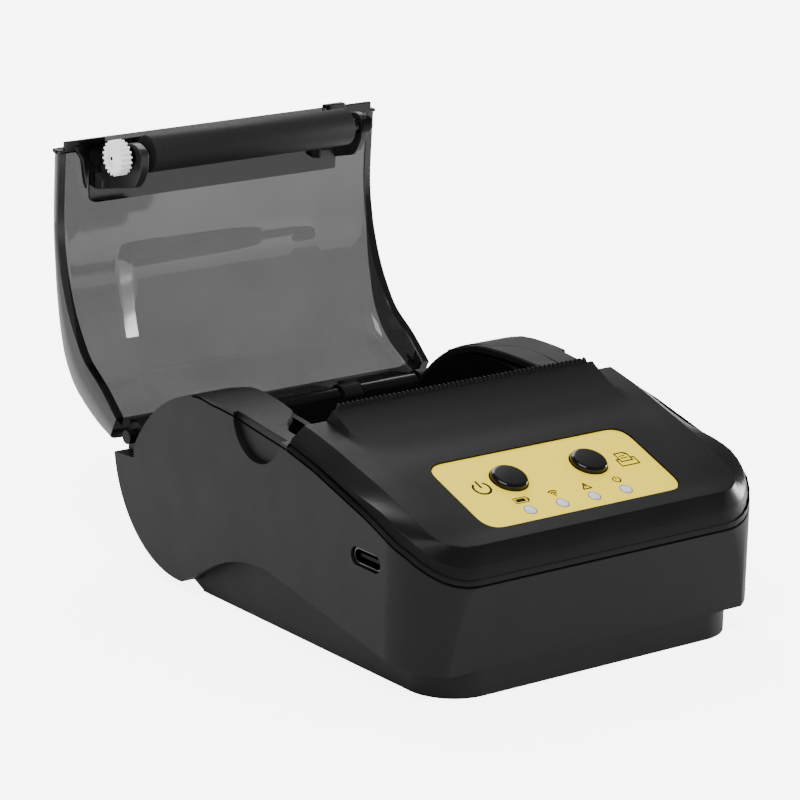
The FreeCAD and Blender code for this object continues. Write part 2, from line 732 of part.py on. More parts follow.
def make_paper_cover():
    body = new_body("paper_cover")
    sketch = new_sketch(body, "YZ_Plane")
    draw(sketch, [(hinge_y + 1.0, 24.9)] + COVER_OUTER[::-1] + [(72.6, COVER_TOP), (71.3, COVER_TOP)]
         + COVER_RIM[::-1] + [(hinge_y + 1.0, 28.6)])
    pad(body, sketch, cover_half * 2, both=True)
    # the outward swell that makes room for the roll
    add_outline(body, "YZ_Plane", [(58.0, 29.0)] + BULGE_OUTER + [
        (72.6, 63.5), (71.5, 63.5), (68.0, 40.0), (60.0, 31.0)], BULGE_HALF * 2, both=True)
    inner = cover_half - dim("cover_wall")
    cut_outline(body, "YZ_Plane", [(51.0, 28.2)] + COVER_INNER + [
        (70.6, 90.0), (60.0, 90.0), (40.0, 50.0), (40.0, 33.2), (47.6, 33.2)], inner * 2, both=True)
    cut_outline(body, "YZ_Plane", [(60.0, 33.0), (66.6, 36.0), (69.6, 41.0), (71.6, 51.0), (72.0, 57.0),
                                   (70.4, 62.0), (66.0, 50.0)], BULGE_HALF * 2 - 4.0, both=True)
    add_circles(body, "YZ_Plane", [(hinge_y, hinge_z, KNUCKLE_RADIUS - 0.3)], cover_half * 2, both=True)
    for start, width in lug_spans():
        cut_outline(body, "YZ_Plane", box_points(40.0, 20.0, 50.6, 33.6), width + 0.8, start - 0.4,
                    back=True)
    cut_circles(body, "YZ_Plane", [(hinge_y, hinge_z, pin_r + 0.05)], 90.0, both=True)
    return body


EAR_THICK = 2.0
EAR_INNER = 28.9


def make_platen_holder():
    """The carrier behind the roller, with an ear at each end for the shaft."""
    body = new_body("platen_holder")
    add_outline(body, "YZ_Plane", [(69.4, 74.0), (71.0, 74.0), (71.2, 82.6), (69.6, 82.6)],
                (EAR_INNER + EAR_THICK) * 2, both=True)
    reach = 3.6
    for start in (-EAR_INNER - EAR_THICK, EAR_INNER):
        add_outline(body, "YZ_Plane", [
            ((platen_y - reach, platen_z), (platen_y, platen_z - reach)), (69.8, 74.6), (70.0, 82.4),
            (67.0, 83.2), (platen_y + 1.4, platen_z + 3.1)], EAR_THICK, start)
    cut_circles(body, "YZ_Plane", [(platen_y, platen_z, 2.3)], 80.0, both=True)
    return body


def make_platen():
    length = dim("platen_half_length")
    cylinder("platen_shaft", shaft_r, 73.4, (-37.4, platen_y, platen_z))
    roller = cylinder("roller_blank", platen_r, length * 2, (-length, platen_y, platen_z), listed=False)
    core = cylinder("roller_bore", shaft_r, length * 2, (-length, platen_y, platen_z), listed=False)
    cut("platen_roller", roller, core)
    for label, start in (("platen_bush_left", -EAR_INNER - EAR_THICK - 0.1),
                         ("platen_bush_right", EAR_INNER - 0.1)):
        outer = cylinder(label + "_blank", 2.3, EAR_THICK + 0.2, (start, platen_y, platen_z), listed=False)
        inner = cylinder(label + "_bore", shaft_r + 0.04, EAR_THICK + 0.2, (start, platen_y, platen_z),
                         listed=False)
        cut(label, outer, inner)
    gear("platen_gear", [(platen_y.value, platen_z.value, 19, 5.6, -37.0, 0.0)], shaft_r.value)
    hub_start = EAR_INNER + EAR_THICK + 0.5
    hub = cylinder("hub_blank", 3.0, 3.6, (hub_start, platen_y, platen_z), listed=False)
    hub_bore = cylinder("hub_bore", shaft_r, 3.6, (hub_start, platen_y, platen_z), listed=False)
    cut("shaft_collar", hub, hub_bore)


# ---- small pieces ----------------------------------------------------------------------------

TOOTH_PITCH = 1.15
TOOTH_HEIGHT = 0.9
TOOTH_COUNT = 53


def make_tear_bar():
    """A thin strip with a row of teeth along its upper edge."""
    strip = box_points(-TEAR_HALF, TEAR_FOOT, TEAR_HALF, TEAR_HEIGHT)
    body = slab("tear_bar", "XZ_Plane", strip, TEAR_THICK, -TEAR_REAR)
    tooth = new_sketch(body, "XZ_Plane", -TEAR_REAR)
    left = 0.1 - TEAR_HALF
    root = TEAR_HEIGHT - 0.2
    draw(tooth, [(left, root), (left + TOOTH_PITCH - 0.05, root),
                 (left + TOOTH_PITCH / 2, TEAR_HEIGHT + TOOTH_HEIGHT)])
    first = pad(body, tooth, TEAR_THICK)
    row = body.newObject("PartDesign::LinearPattern", "ToothRow")
    row.Originals = [first]
    row.Direction = (next(a for a in body.Origin.OriginFeatures if a.Role == "X_Axis"), [""])
    row.Length = TOOTH_PITCH * (TOOTH_COUNT - 1)
    row.Occurrences = TOOTH_COUNT
    body.Tip = row
    doc.recompute()


def make_fasteners():
    heads = []
    for index, (x, y) in enumerate(SCREW_PLACES):
        heads.append(cylinder("screw_head_%d" % index, 2.1, 1.2, (x, y, 0.3), "z", listed=False))
        heads.append(cylinder("screw_shank_%d" % index, 1.25, 12.0, (x, y, 1.5), "z", listed=False))
    fuse("case_screws", heads)
    feet = [cylinder("foot_%d" % index, FOOT_RADIUS, FOOT_DEPTH, (x, y, 0.0), "z", listed=False)
            for index, (x, y) in enumerate(FOOT_PLACES)]
    fuse("rubber_feet", feet)
    cylinder("hinge_pin", pin_r, 82.6, (-41.3, hinge_y, hinge_z))


make_lower_case()
make_upper_case()
make_paper_tub()
make_panel_label()
make_button("power_button", -1)
make_button("feed_button", 1)
make_key_board()
make_switch("power_switch", -1)
make_switch("feed_switch", 1)
for order, word in enumerate(LED_NAMES):
    make_led("light_pipe_" + word, order)
make_tear_bar()
make_mechanism()
make_gear_train()
make_electronics()
make_paper_cover()
make_platen_holder()
make_platen()
make_fasteners()

doc.recompute()
for thing in doc.Objects:
    if "Invalid" in thing.State or "Error" in thing.State:
        raise RuntimeError("%s did not recompute: %s" % (thing.Label, thing.State))

os.makedirs("parts", exist_ok=True)
for thing in PARTS:
    if thing.Shape.isNull() or not thing.Shape.isValid():
        raise RuntimeError("%s has no valid shape" % thing.Label)
    thing.Shape.exportStep("parts/%s.step" % thing.Label)
print(len(PARTS), "sub-parts written")
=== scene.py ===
import math

import bmesh
import bpy
from mathutils import Matrix, Vector


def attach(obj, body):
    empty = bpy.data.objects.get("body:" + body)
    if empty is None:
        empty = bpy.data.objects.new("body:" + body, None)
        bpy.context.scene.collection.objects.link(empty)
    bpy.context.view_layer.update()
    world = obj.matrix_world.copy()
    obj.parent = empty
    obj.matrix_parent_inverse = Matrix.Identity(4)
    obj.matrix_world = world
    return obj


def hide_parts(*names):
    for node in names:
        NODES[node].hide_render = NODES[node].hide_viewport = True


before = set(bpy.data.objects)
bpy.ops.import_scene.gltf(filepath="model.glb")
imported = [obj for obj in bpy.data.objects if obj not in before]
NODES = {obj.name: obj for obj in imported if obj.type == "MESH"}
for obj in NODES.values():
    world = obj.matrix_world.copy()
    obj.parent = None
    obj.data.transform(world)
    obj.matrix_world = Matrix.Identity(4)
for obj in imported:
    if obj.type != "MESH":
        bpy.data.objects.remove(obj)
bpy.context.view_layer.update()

MM = 0.001


# ---- small helpers ---------------------------------------------------------------------------

def srgb(r, g, b):
    """A colour given as 0 to 255 display values, in linear light."""
    def linear(v):
        v /= 255
        return v / 12.92 if v <= 0.04045 else ((v + 0.055) / 1.055) ** 2.4
    return (linear(r), linear(g), linear(b), 1.0)


def between(points, y):
    """The height at y on a line through (y, z) points sorted by falling y, carried on past the ends."""
    pairs = list(zip(points[:-1], points[1:]))
    for (y0, z0), (y1, z1) in pairs:
        if y >= y1:
            return z0 + (z1 - z0) * (y - y0) / (y1 - y0)
    (y0, z0), (y1, z1) = pairs[-1]
    return z0 + (z1 - z0) * (y - y0) / (y1 - y0)


def ease(t):
    """Runs from 0 to 1 with flat ends, and stays there past them."""
    t = min(1.0, max(0.0, t))
    return t * t * (3 - 2 * t)


def mix(a, b, t):
    return a + (b - a) * t


def spline(points, t):
    """Catmull-Rom through the points; whole values of t land on them."""
    last = len(points) - 1
    i = min(int(t), last - 1)
    f = t - i
    p1, p2 = Vector(points[i]), Vector(points[i + 1])
    p0 = Vector(points[i - 1]) if i > 0 else 2 * p1 - p2
    p3 = Vector(points[i + 2]) if i + 2 <= last else 2 * p2 - p1
    return 0.5 * (2 * p1 + (p2 - p0) * f + (2 * p0 - 5 * p1 + 4 * p2 - p3) * f ** 2
                  + (3 * p1 - p0 - 3 * p2 + p3) * f ** 3)


# ---- materials -------------------------------------------------------------------------------

WEAR_SCALE = 120.0
GRAIN_HEIGHT = 0.00004
BRUSH_SCALE = 180.0
BRUSH_HEIGHT = 0.00002
RIPPLE_SCALE = 60.0
RIPPLE_HEIGHT = 0.0002
COAT_ROUGH = 0.08


def new_material(name):
    material = bpy.data.materials.new(name)
    material.use_nodes = True
    tree = material.node_tree
    return material, tree, tree.nodes["Principled BSDF"]


def noise(tree, scale, detail):
    place = tree.nodes.new("ShaderNodeTexCoord")
    node = tree.nodes.new("ShaderNodeTexNoise")
    node.inputs["Scale"].default_value = scale
    node.inputs["Detail"].default_value = detail
    tree.links.new(place.outputs["Object"], node.inputs["Vector"])
    return node.outputs["Fac"]


def ramp(tree, value, low, high, start=0.35, end=0.65):
    """The low colour up to the start of the value, the high one from its end, and a blend between."""
    node = tree.nodes.new("ShaderNodeValToRGB")
    node.color_ramp.elements[0].position = start
    node.color_ramp.elements[1].position = end
    node.color_ramp.elements[0].color = low
    node.color_ramp.elements[1].color = high
    tree.links.new(value, node.inputs["Fac"])
    return node.outputs["Color"]


def grey(level):
    return (level, level, level, 1)


def shade(colour, factor):
    return tuple(min(1.0, c * factor) for c in colour[:3]) + (1.0,)


def bump(tree, value, strength, distance):
    node = tree.nodes.new("ShaderNodeBump")
    node.inputs["Strength"].default_value = strength
    node.inputs["Distance"].default_value = distance
    tree.links.new(value, node.inputs["Height"])
    return node.outputs["Normal"]


def blend(tree, share, first, second):
    """A shader that is the first at a share of 0 and the second at 1."""
    node = tree.nodes.new("ShaderNodeMixShader")
    tree.links.new(share, node.inputs["Fac"])
    tree.links.new(first, node.inputs[1])
    tree.links.new(second, node.inputs[2])
    return node.outputs["Shader"]


def grained(name, colour, rough, grain=3500.0, depth=0.3, mottle=0.14, spread=0.05, gloss=0.5,
            coat=0.0):
    """A solid finish: fine grain in the normal and the colour, slow changes in the roughness."""
    material, tree, shader = new_material(name)
    slow = noise(tree, WEAR_SCALE, 4.0)
    fine = noise(tree, grain, 2.0)
    tint = ramp(tree, fine, shade(colour, 1 - mottle), shade(colour, 1 + mottle))
    wear = ramp(tree, slow, grey(rough - spread), grey(rough + spread))
    tree.links.new(tint, shader.inputs["Base Color"])
    tree.links.new(wear, shader.inputs["Roughness"])
    shader.inputs["Specular IOR Level"].default_value = gloss
    shader.inputs["Coat Weight"].default_value = coat
    shader.inputs["Coat Roughness"].default_value = COAT_ROUGH
    tree.links.new(bump(tree, fine, depth, GRAIN_HEIGHT), shader.inputs["Normal"])
    return material


def brushed(name, colour, rough, stretch=(1.0, 40.0, 40.0)):
    """Metal with fine lines drawn along one direction."""
    material, tree, shader = new_material(name)
    place = tree.nodes.new("ShaderNodeTexCoord")
    scale = tree.nodes.new("ShaderNodeMapping")
    scale.inputs["Scale"].default_value = stretch
    lines = tree.nodes.new("ShaderNodeTexNoise")
    lines.inputs["Scale"].default_value = BRUSH_SCALE
    tree.links.new(place.outputs["Object"], scale.inputs["Vector"])
    tree.links.new(scale.outputs["Vector"], lines.inputs["Vector"])
    drawn = lines.outputs["Fac"]
    tint = ramp(tree, drawn, shade(colour, 0.82), shade(colour, 1.12))
    wear = ramp(tree, drawn, grey(rough * 0.8), grey(rough * 1.25))
    tree.links.new(tint, shader.inputs["Base Color"])
    tree.links.new(wear, shader.inputs["Roughness"])
    shader.inputs["Metallic"].default_value = 1.0
    tree.links.new(bump(tree, drawn, 0.2, BRUSH_HEIGHT), shader.inputs["Normal"])
    return material


def smoked(name, tint, rough):
    """Clear smoke-grey plastic: the tint dims what is seen through it, and it shines more edge-on."""
    material, tree, shader = new_material(name)
    tree.nodes.remove(shader)
    slow = noise(tree, RIPPLE_SCALE, 2.0)
    clear = tree.nodes.new("ShaderNodeBsdfTransparent")
    colour = ramp(tree, slow, shade(tint, 0.96), shade(tint, 1.04), 0.3, 0.7)
    tree.links.new(colour, clear.inputs["Color"])
    shine = tree.nodes.new("ShaderNodeBsdfGlossy")
    shine.inputs["Roughness"].default_value = rough
    shine.inputs["Color"].default_value = grey(1)
    tree.links.new(bump(tree, slow, 0.15, RIPPLE_HEIGHT), shine.inputs["Normal"])
    facing = tree.nodes.new("ShaderNodeLayerWeight")
    share = ramp(tree, facing.outputs["Facing"], grey(0.035), grey(0.42), 0.45, 1.0)
    both = blend(tree, share, clear.outputs["BSDF"], shine.outputs["BSDF"])
    tree.links.new(both, tree.nodes["Material Output"].inputs["Surface"])
    return material


CASE = grained("case_matte", srgb(16, 16, 17), 0.5, gloss=0.16, depth=0.35, spread=0.015)
BAND = grained("case_band", srgb(15, 15, 16), 0.42, gloss=0.16, depth=0.4, spread=0.015)
CHAMFER = grained("case_gloss", srgb(14, 14, 15), 0.28, depth=0.04, gloss=0.16, mottle=0.06,
                  spread=0.015)
# near-black matte finish: painted shadow in the top shell's seam groove, along the humps' parting lines
# and in the gear boss's hole
SEAM_SHADOW = grained("seam_shadow", srgb(3, 3, 3), 0.9, gloss=0.01)
INNER_GLOSS = grained("inner_gloss", srgb(9, 9, 10), 0.24, gloss=0.2, depth=0.03, spread=0.015)
INNER = grained("inner_black", srgb(8, 8, 9), 0.42, gloss=0.09, depth=0.12, spread=0.015)
BRACKET = grained("bracket_black", srgb(30, 30, 31), 0.36, gloss=0.3, depth=0.1, spread=0.015)
LABEL = grained("label_yellow", srgb(255, 224, 36), 0.42, grain=1800.0, depth=0.06, mottle=0.03,
                gloss=0.3)
INK = grained("label_ink", srgb(16, 14, 10), 0.5, gloss=0.1)
BUTTON = grained("button_top", srgb(18, 18, 19), 0.4, gloss=0.14, depth=0.1, spread=0.015)
BUTTON_RIM = grained("button_rim", srgb(8, 8, 9), 0.12, gloss=0.3, depth=0.02)
LENS = grained("lens_milky", srgb(205, 205, 216), 0.3, depth=0.03, mottle=0.04, coat=0.4)
LENS_RING = grained("lens_ring", srgb(120, 118, 124), 0.4, depth=0.05)
RUBBER = grained("roller_rubber", srgb(31, 31, 32), 0.55, grain=2600.0, gloss=0.1, depth=0.3,
                 spread=0.015)
GEAR = grained("gear_acetal", srgb(246, 246, 244), 0.38, depth=0.05, mottle=0.02)
SMOKE = smoked("smoke_clear", srgb(106, 106, 106), 0.05)
SMOKE_EDGE = smoked("smoke_edge", srgb(42, 42, 43), 0.2)
STEEL = brushed("steel_brushed", srgb(186, 187, 190), 0.28)
DARK_STEEL = brushed("steel_dark", srgb(70, 70, 72), 0.32)

SLOT_LOOKS = {
    "case_black": CASE, "inner_black": INNER, "panel_yellow": LABEL, "button_black": BUTTON,
    "platen_rubber": RUBBER, "gear_white": GEAR, "smoke_clear": SMOKE, "light_pipe": LENS,
    "board_green": grained("board_green", srgb(28, 92, 56), 0.4, grain=900.0, mottle=0.2),
    "switch_metal": brushed("switch_metal", srgb(190, 190, 192), 0.3),
    "tear_black": grained("tear_black", srgb(8, 8, 9), 0.35, gloss=0.15, depth=0.1),
    "ceramic": grained("head_ceramic", srgb(226, 222, 210), 0.25, mottle=0.03, coat=0.5),
    "heatsink": brushed("heatsink", srgb(168, 170, 174), 0.4),
    "spring_steel": brushed("spring_steel", srgb(172, 172, 176), 0.22, (40.0, 1.0, 40.0)),
    "pin_steel": DARK_STEEL, "plate_steel": STEEL,
    "battery_wrap": grained("battery_wrap", srgb(46, 92, 160), 0.4, grain=700.0, mottle=0.08),
    "port_steel": brushed("port_steel", srgb(84, 84, 86), 0.25),
    "flex_amber": grained("flex_amber", srgb(186, 120, 40), 0.35, grain=500.0, mottle=0.2),
    "foot_rubber": grained("foot_rubber", srgb(30, 30, 31), 0.8, grain=1500.0, gloss=0.2),
    "brass": brushed("brass", srgb(196, 160, 84), 0.3),
}


def paint_cad_nodes():
    """Every CAD node gets the looks of its material slots."""
    for node in NODES.values():
        for place, slot in enumerate(node.data.materials):
            look = SLOT_LOOKS.get(slot.name.split(".")[0]) if slot else None
            if look:
                node.data.materials[place] = look


# ---- pieces ----------------------------------------------------------------------------------

def link_object(name, data):
    obj = bpy.data.objects.new(name, data)
    bpy.context.scene.collection.objects.link(obj)
    return obj


def to_object(name, bm):
    """A mesh in millimetres becomes an object in metres."""
    mesh = bpy.data.meshes.new(name)
    bmesh.ops.scale(bm, vec=(MM, MM, MM), verts=bm.verts)
    bm.to_mesh(mesh)
    bm.free()
    return link_object(name, mesh)


def smooth(mesh):
    for face in mesh.polygons:
        face.use_smooth = True


def evaluated_mesh(obj):
    """The object's shape with its modifiers worked in."""
    bpy.context.view_layer.update()
    graph = bpy.context.evaluated_depsgraph_get()
    return bpy.data.meshes.new_from_object(obj.evaluated_get(graph))


def bake(obj):
    baked = evaluated_mesh(obj)
    obj.modifiers.clear()
    obj.data = baked
    baked.name = obj.name


def add_piece(name, bm, body, looks, crease=35.0, stands_for=(), width=0.0):
    """A mesh in millimetres becomes a shown piece, bevelled if asked, riding on its body."""
    obj = to_object(name, bm)
    for look in looks:
        obj.data.materials.append(look)
    smooth(obj.data)
    if width:
        edge = obj.modifiers.new("edge", "BEVEL")
        edge.width = width * MM
        edge.segments = 3
        edge.limit_method = "ANGLE"
        edge.angle_limit = math.radians(crease)
        edge.harden_normals = True
        even = obj.modifiers.new("even", "WEIGHTED_NORMAL")
        even.weight = 100
        bake(obj)
    else:
        obj.data.set_sharp_from_angle(angle=math.radians(crease))
    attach(obj, body)
    if stands_for:
        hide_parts(*stands_for)


def bridge(bm, a, b, look=0, closed=True):
    """Quads between two rings of the same length."""
    count = len(a) if closed else len(a) - 1
    for i in range(count):
        j = (i + 1) % len(a)
        face = bm.faces.new((a[i], a[j], b[j], b[i]))
        face.material_index = look


def loft(bm, rings):
    """Closed rings joined in order, with flat ends and the faces turned outward."""
    made = [[bm.verts.new(point) for point in ring] for ring in rings]
    for a, b in zip(made[:-1], made[1:]):
        bridge(bm, a, b)
    bm.faces.new(made[0][::-1])
    bm.faces.new(made[-1])
    bmesh.ops.recalc_face_normals(bm, faces=bm.faces)


def turned(bm, profile, place, steps=48, look=0):
    """A solid of revolution about local Z, from (radius, height) points that start and end on it."""
    rings = []
    for radius, height in profile[1:-1]:
        ring = []
        for i in range(steps):
            a = math.tau * i / steps
            spot = Vector((radius * math.cos(a), radius * math.sin(a), height))
            ring.append(bm.verts.new(place @ spot))
        rings.append(ring)
    for a, b in zip(rings[:-1], rings[1:]):
        bridge(bm, a, b, look)
    for ring, (_, height) in ((rings[0], profile[0]), (rings[-1], profile[-1])):
        tip = bm.verts.new(place @ Vector((0, 0, height)))
        for i in range(steps):
            bm.faces.new((ring[i], ring[(i + 1) % steps], tip)).material_index = look
    bmesh.ops.recalc_face_normals(bm, faces=bm.faces)


def slab(bm, outline, place, low, high):
    """A prism over a flat outline given in local X and Y, from low to high on local Z."""
    loft(bm, [[place @ Vector((x, y, h)) for x, y in outline] for h in (low, high)])


STRAIGHT = math.radians(88)
LONGEST_CUT = 0.49


def round_corners(points, radius, steps=6):
    """The outline with each corner rounded off, by the radius or by the corner's own third value."""
    out = []
    count = len(points)
    for i, point in enumerate(points):
        r = point[2] if len(point) > 2 else radius
        here = Vector(point[:2])
        back = Vector(points[i - 1][:2]) - here
        ahead = Vector(points[(i + 1) % count][:2]) - here
        half = back.angle(ahead) / 2
        if half > STRAIGHT:
            out.append(tuple(here))
            continue
        reach = min(r / math.tan(half), back.length * LONGEST_CUT, ahead.length * LONGEST_CUT)
        start = here + back.normalized() * reach
        end = here + ahead.normalized() * reach
        for k in range(steps + 1):
            t = k / steps
            out.append(tuple(start * (1 - t) ** 2 + here * 2 * t * (1 - t) + end * t * t))
    return out


ALONG_X = Matrix.Rotation(math.radians(90), 4, "Y")
YZ = Matrix(((0, 0, 1, 0), (1, 0, 0, 0), (0, 1, 0, 0), (0, 0, 0, 1)))


def at(x, y, z):
    return Matrix.Translation((x, y, z))


def upright(y):
    """Local X and Y lie along X and Z on the plane at y, and local Z points to the front."""
    return Matrix(((1, 0, 0, 0), (0, 0, -1, y), (0, 1, 0, 0), (0, 0, 0, 1)))


# ---- top shell -------------------------------------------------------------------------------

SLOPE = math.radians(19.9)
LABEL_FRONT = (-57.07, 31.58)
LABEL_PLACE = Matrix.Translation((0, LABEL_FRONT[0], LABEL_FRONT[1])) @ Matrix.Rotation(SLOPE, 4, "X")
SEAM = [(-14.0, 40.7), (-25.5, 38.4), (-34.8, 35.9), (-43.8, 33.4), (-50.0, 31.2), (-55.0, 28.9),
        (-59.2, 25.8), (-61.4, 24.1), (-63.0, 23.0)]
SHOULDER = [(-13.4, 45.5), (-19.9, 44.2), (-26.4, 42.6), (-32.8, 40.7), (-39.2, 38.9), (-45.5, 36.8),
            (-51.7, 34.6), (-57.9, 32.0), (-61.2, 30.85)]
MIDDLE_LIFT = [(-16.0, 1.7), (-19.0, 1.0), (-23.0, 0.4), (-30.0, 0.0), (-36.0, 0.35), (-57.0, 0.45),
               (-61.2, 0.77)]
REAR = -16.3
WEDGE_REAR = -17.4
CORNER = 13.0
CORNER_Y = -50.0
TOP_CORNER = 7.0
TOP_CORNER_X = 31.6
TOP_CORNER_Y = -54.2
SIDE_ROWS = 18
CORNER_ROWS = 8
COLUMNS = [-1, -0.95, -0.9, -0.866, -0.848, -0.78, -0.72, -0.63, -0.5, -0.35, -0.18, 0, 0.18, 0.35, 0.5,
           0.63, 0.72, 0.78, 0.848, 0.866, 0.9, 0.95, 1]
WEDGE_SHARE = 0.855
CROWN_FROM = 26.0
CROWN_WIDTH = 10.0
STEP_FROM = -30.0
STEP_WIDTH = 5.0
HUMP_HALF = 42.8
HUMP_Y = 16.0
TAPER = 0.0294
BELT_RISE = (2.5, 2.1, 3.6, 3.9)
BELT_INSET = (1.25, 1.6, 1.3, 0.9)
SIDE_TURN = 0.6
FACE_HALF_REAR = 39.5
FACE_HALF_FRONT = 38.6


def half_width(y):
    return HUMP_HALF + (HUMP_Y - y) * TAPER


def plane_height(y):
    return LABEL_FRONT[1] + math.tan(SLOPE) * (y - LABEL_FRONT[0])


def face_point(share, x_edge, y):
    """A point of the top face: the plane in the middle, the crowned shoulder at the sides.

    At the rear the plane steps up into a wedge, which ends a little before the shoulders do."""
    x = share * x_edge
    middle = plane_height(y) + between(MIDDLE_LIFT, y)
    shoulder = between(SHOULDER, y)
    soft = ease((abs(x) - CROWN_FROM) / CROWN_WIDTH)
    stepped = 1.0 if abs(share) > WEDGE_SHARE else 0.0
    weight = mix(soft, stepped, ease((y - STEP_FROM) / STEP_WIDTH))
    if y >= WEDGE_REAR and abs(share) < WEDGE_SHARE:
        y = WEDGE_REAR
        middle = plane_height(y) + between(MIDDLE_LIFT, y)
    return (x, y, mix(middle, shoulder, weight))


def along_side(values, t):
    """From the first value to the second along the side, then on to the third before the corner."""
    if t < SIDE_TURN:
        return mix(values[0], values[1], ease(t * 2))
    return mix(values[1], values[2], ease((t - SIDE_TURN) / (1 - SIDE_TURN)))


def shell_rows():
    """From the rear round to the front, the right side's seam, belt top and face edge.

    The seam and the belt top are (x, y, z) points, and the face edge is (x, y)."""
    rows = []
    for i in range(SIDE_ROWS + 1):
        t = i / SIDE_ROWS
        y = mix(REAR, CORNER_Y, t)
        seam = between(SEAM, y)
        inset = along_side(BELT_INSET, t)
        rise = along_side(BELT_RISE, t)
        rows.append(((half_width(y), y, seam), (half_width(y) - inset, y, seam + rise),
                     (mix(FACE_HALF_REAR, FACE_HALF_FRONT, t), mix(REAR, TOP_CORNER_Y, t))))
    middle = half_width(CORNER_Y) - CORNER
    for i in range(1, CORNER_ROWS + 1):
        t = i / CORNER_ROWS
        c = math.cos(math.radians(90 * t))
        s = math.sin(math.radians(90 * t))
        y = CORNER_Y - CORNER * s
        seam = between(SEAM, y)
        reach = CORNER - mix(BELT_INSET[2], BELT_INSET[3], t)
        rise = mix(BELT_RISE[2], BELT_RISE[3], t)
        rows.append(((middle + CORNER * c, y, seam),
                     (middle + reach * c, CORNER_Y - reach * s, seam + rise),
                     (TOP_CORNER_X + TOP_CORNER * c, TOP_CORNER_Y - TOP_CORNER * s)))
    return rows


GROOVE_DEPTH = 0.9
GROOVE_LIFT = 0.02
GROOVE_HEIGHT = 0.5
EDGE_ROUND = 0.9
SHELL_WALL = 1.1
SHELL_CREASE = 32
WELD = 0.0005
# the shell's material places, and the share of EDGE_ROUND that an edge between two of them gets
FACE, BELT, SLOPED, GROOVE = range(4)
EDGE_SHARES = {frozenset((FACE, SLOPED)): 1.0, frozenset((BELT, SLOPED)): 0.4,
               frozenset((BELT, GROOVE)): 0.25}
LEVELS = 5


def shell_mesh():
    """The top shell's outer skin: groove, belt and sloped rim round it, and the top face."""
    bm = bmesh.new()
    weight = bm.edges.layers.float.new("bevel_weight_edge")
    rows = shell_rows()
    left = []
    for (x, y, z), ridge, (top_x, top_y) in rows:
        sunk_x = x - GROOVE_DEPTH
        sunk_y = y + GROOVE_DEPTH * max(0.0, (CORNER_Y - y) / CORNER)
        left.append([(-sunk_x, sunk_y, z + GROOVE_LIFT), (-sunk_x, sunk_y, z + GROOVE_HEIGHT),
                     (-x, y, z + GROOVE_HEIGHT), (-ridge[0], ridge[1], ridge[2]),
                     (-top_x, top_y, face_point(1.0, top_x, top_y)[2])])
    right = [[(-x, y, z) for x, y, z in column] for column in left]
    front = []
    for share in COLUMNS[1:-1]:
        column = [(x * share, y, z) for x, y, z in right[-1][:-1]]
        column.append(face_point(share, *rows[-1][2]))
        front.append(column)
    around = left + front + right[::-1]
    made = [[bm.verts.new(column[level]) for column in around] for level in range(LEVELS)]
    for level, look in enumerate((GROOVE, GROOVE, BELT, SLOPED)):
        bridge(bm, made[level], made[level + 1], look, closed=False)
    edge_loop = made[-1]
    count = len(rows)
    grid = []
    for i in range(count - 1):
        row = [edge_loop[i]]
        for share in COLUMNS[1:-1]:
            row.append(bm.verts.new(face_point(share, *rows[i][2])))
        row.append(edge_loop[len(around) - 1 - i])
        grid.append(row)
    grid.append(edge_loop[count - 1:len(around) - count + 1])
    for a, b in zip(grid[:-1], grid[1:]):
        bridge(bm, a, b, FACE, closed=False)
    bmesh.ops.remove_doubles(bm, verts=bm.verts, dist=WELD)
    bmesh.ops.recalc_face_normals(bm, faces=bm.faces)
    top = max(bm.faces, key=lambda f: f.calc_center_median().z)
    if top.normal.z < 0:
        bmesh.ops.reverse_faces(bm, faces=bm.faces)
    bm.normal_update()
    for edge in bm.edges:
        edge[weight] = EDGE_SHARES.get(frozenset(f.material_index for f in edge.link_faces), 0.0)
    return bm


def shell_cutters():
    """The label's shallow recess and a hole for each button."""
    recess = bmesh.new()
    slab(recess, label_outline(LABEL_GAP, RECESS_CORNER, 8), LABEL_PLACE, -RECESS_DEPTH, CUTTER_REACH)
    cutters = [to_object("cutter", recess)]
    for x in BUTTON_X:
        hole = bmesh.new()
        turned(hole, [(0, -CUTTER_REACH), (BUTTON_HOLE, -CUTTER_REACH), (BUTTON_HOLE, CUTTER_REACH),
                      (0, CUTTER_REACH)], LABEL_PLACE @ at(x, BUTTON_UP, 0))
        cutters.append(to_object("cutter", hole))
    return cutters


def make_upper_shell():
    obj = to_object("upper_shell", shell_mesh())
    # the groove faces take the near-black seam look: painted shadow in the parting line
    for look in (CASE, BAND, CHAMFER, SEAM_SHADOW):
        obj.data.materials.append(look)
    edge = obj.modifiers.new("edge", "BEVEL")
    edge.width = EDGE_ROUND * MM
    edge.segments = 4
    edge.limit_method = "WEIGHT"
    wall = obj.modifiers.new("wall", "SOLIDIFY")
    wall.thickness = SHELL_WALL * MM
    wall.offset = -1
    cutters = shell_cutters()
    for cutter in cutters:
        hole = obj.modifiers.new("hole", "BOOLEAN")
        hole.operation = "DIFFERENCE"
        hole.solver = "EXACT"
        hole.object = cutter
    bake(obj)
    for cutter in cutters:
        bpy.data.objects.remove(cutter)
    smooth(obj.data)
    obj.data.set_sharp_from_angle(angle=math.radians(SHELL_CREASE))
    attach(obj, "chassis")
    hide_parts("upper_case")


TEAR_Y = -16.45
TEAR_THICK = 0.85
TEAR_LOW = 44.6
TEAR_ROOT = 47.05
TEAR_TIP = 48.2
TOOTH_PITCH = 1.15
TOOTH_COUNT = 56
TOOTH_FLAT = (0.42, 0.58)


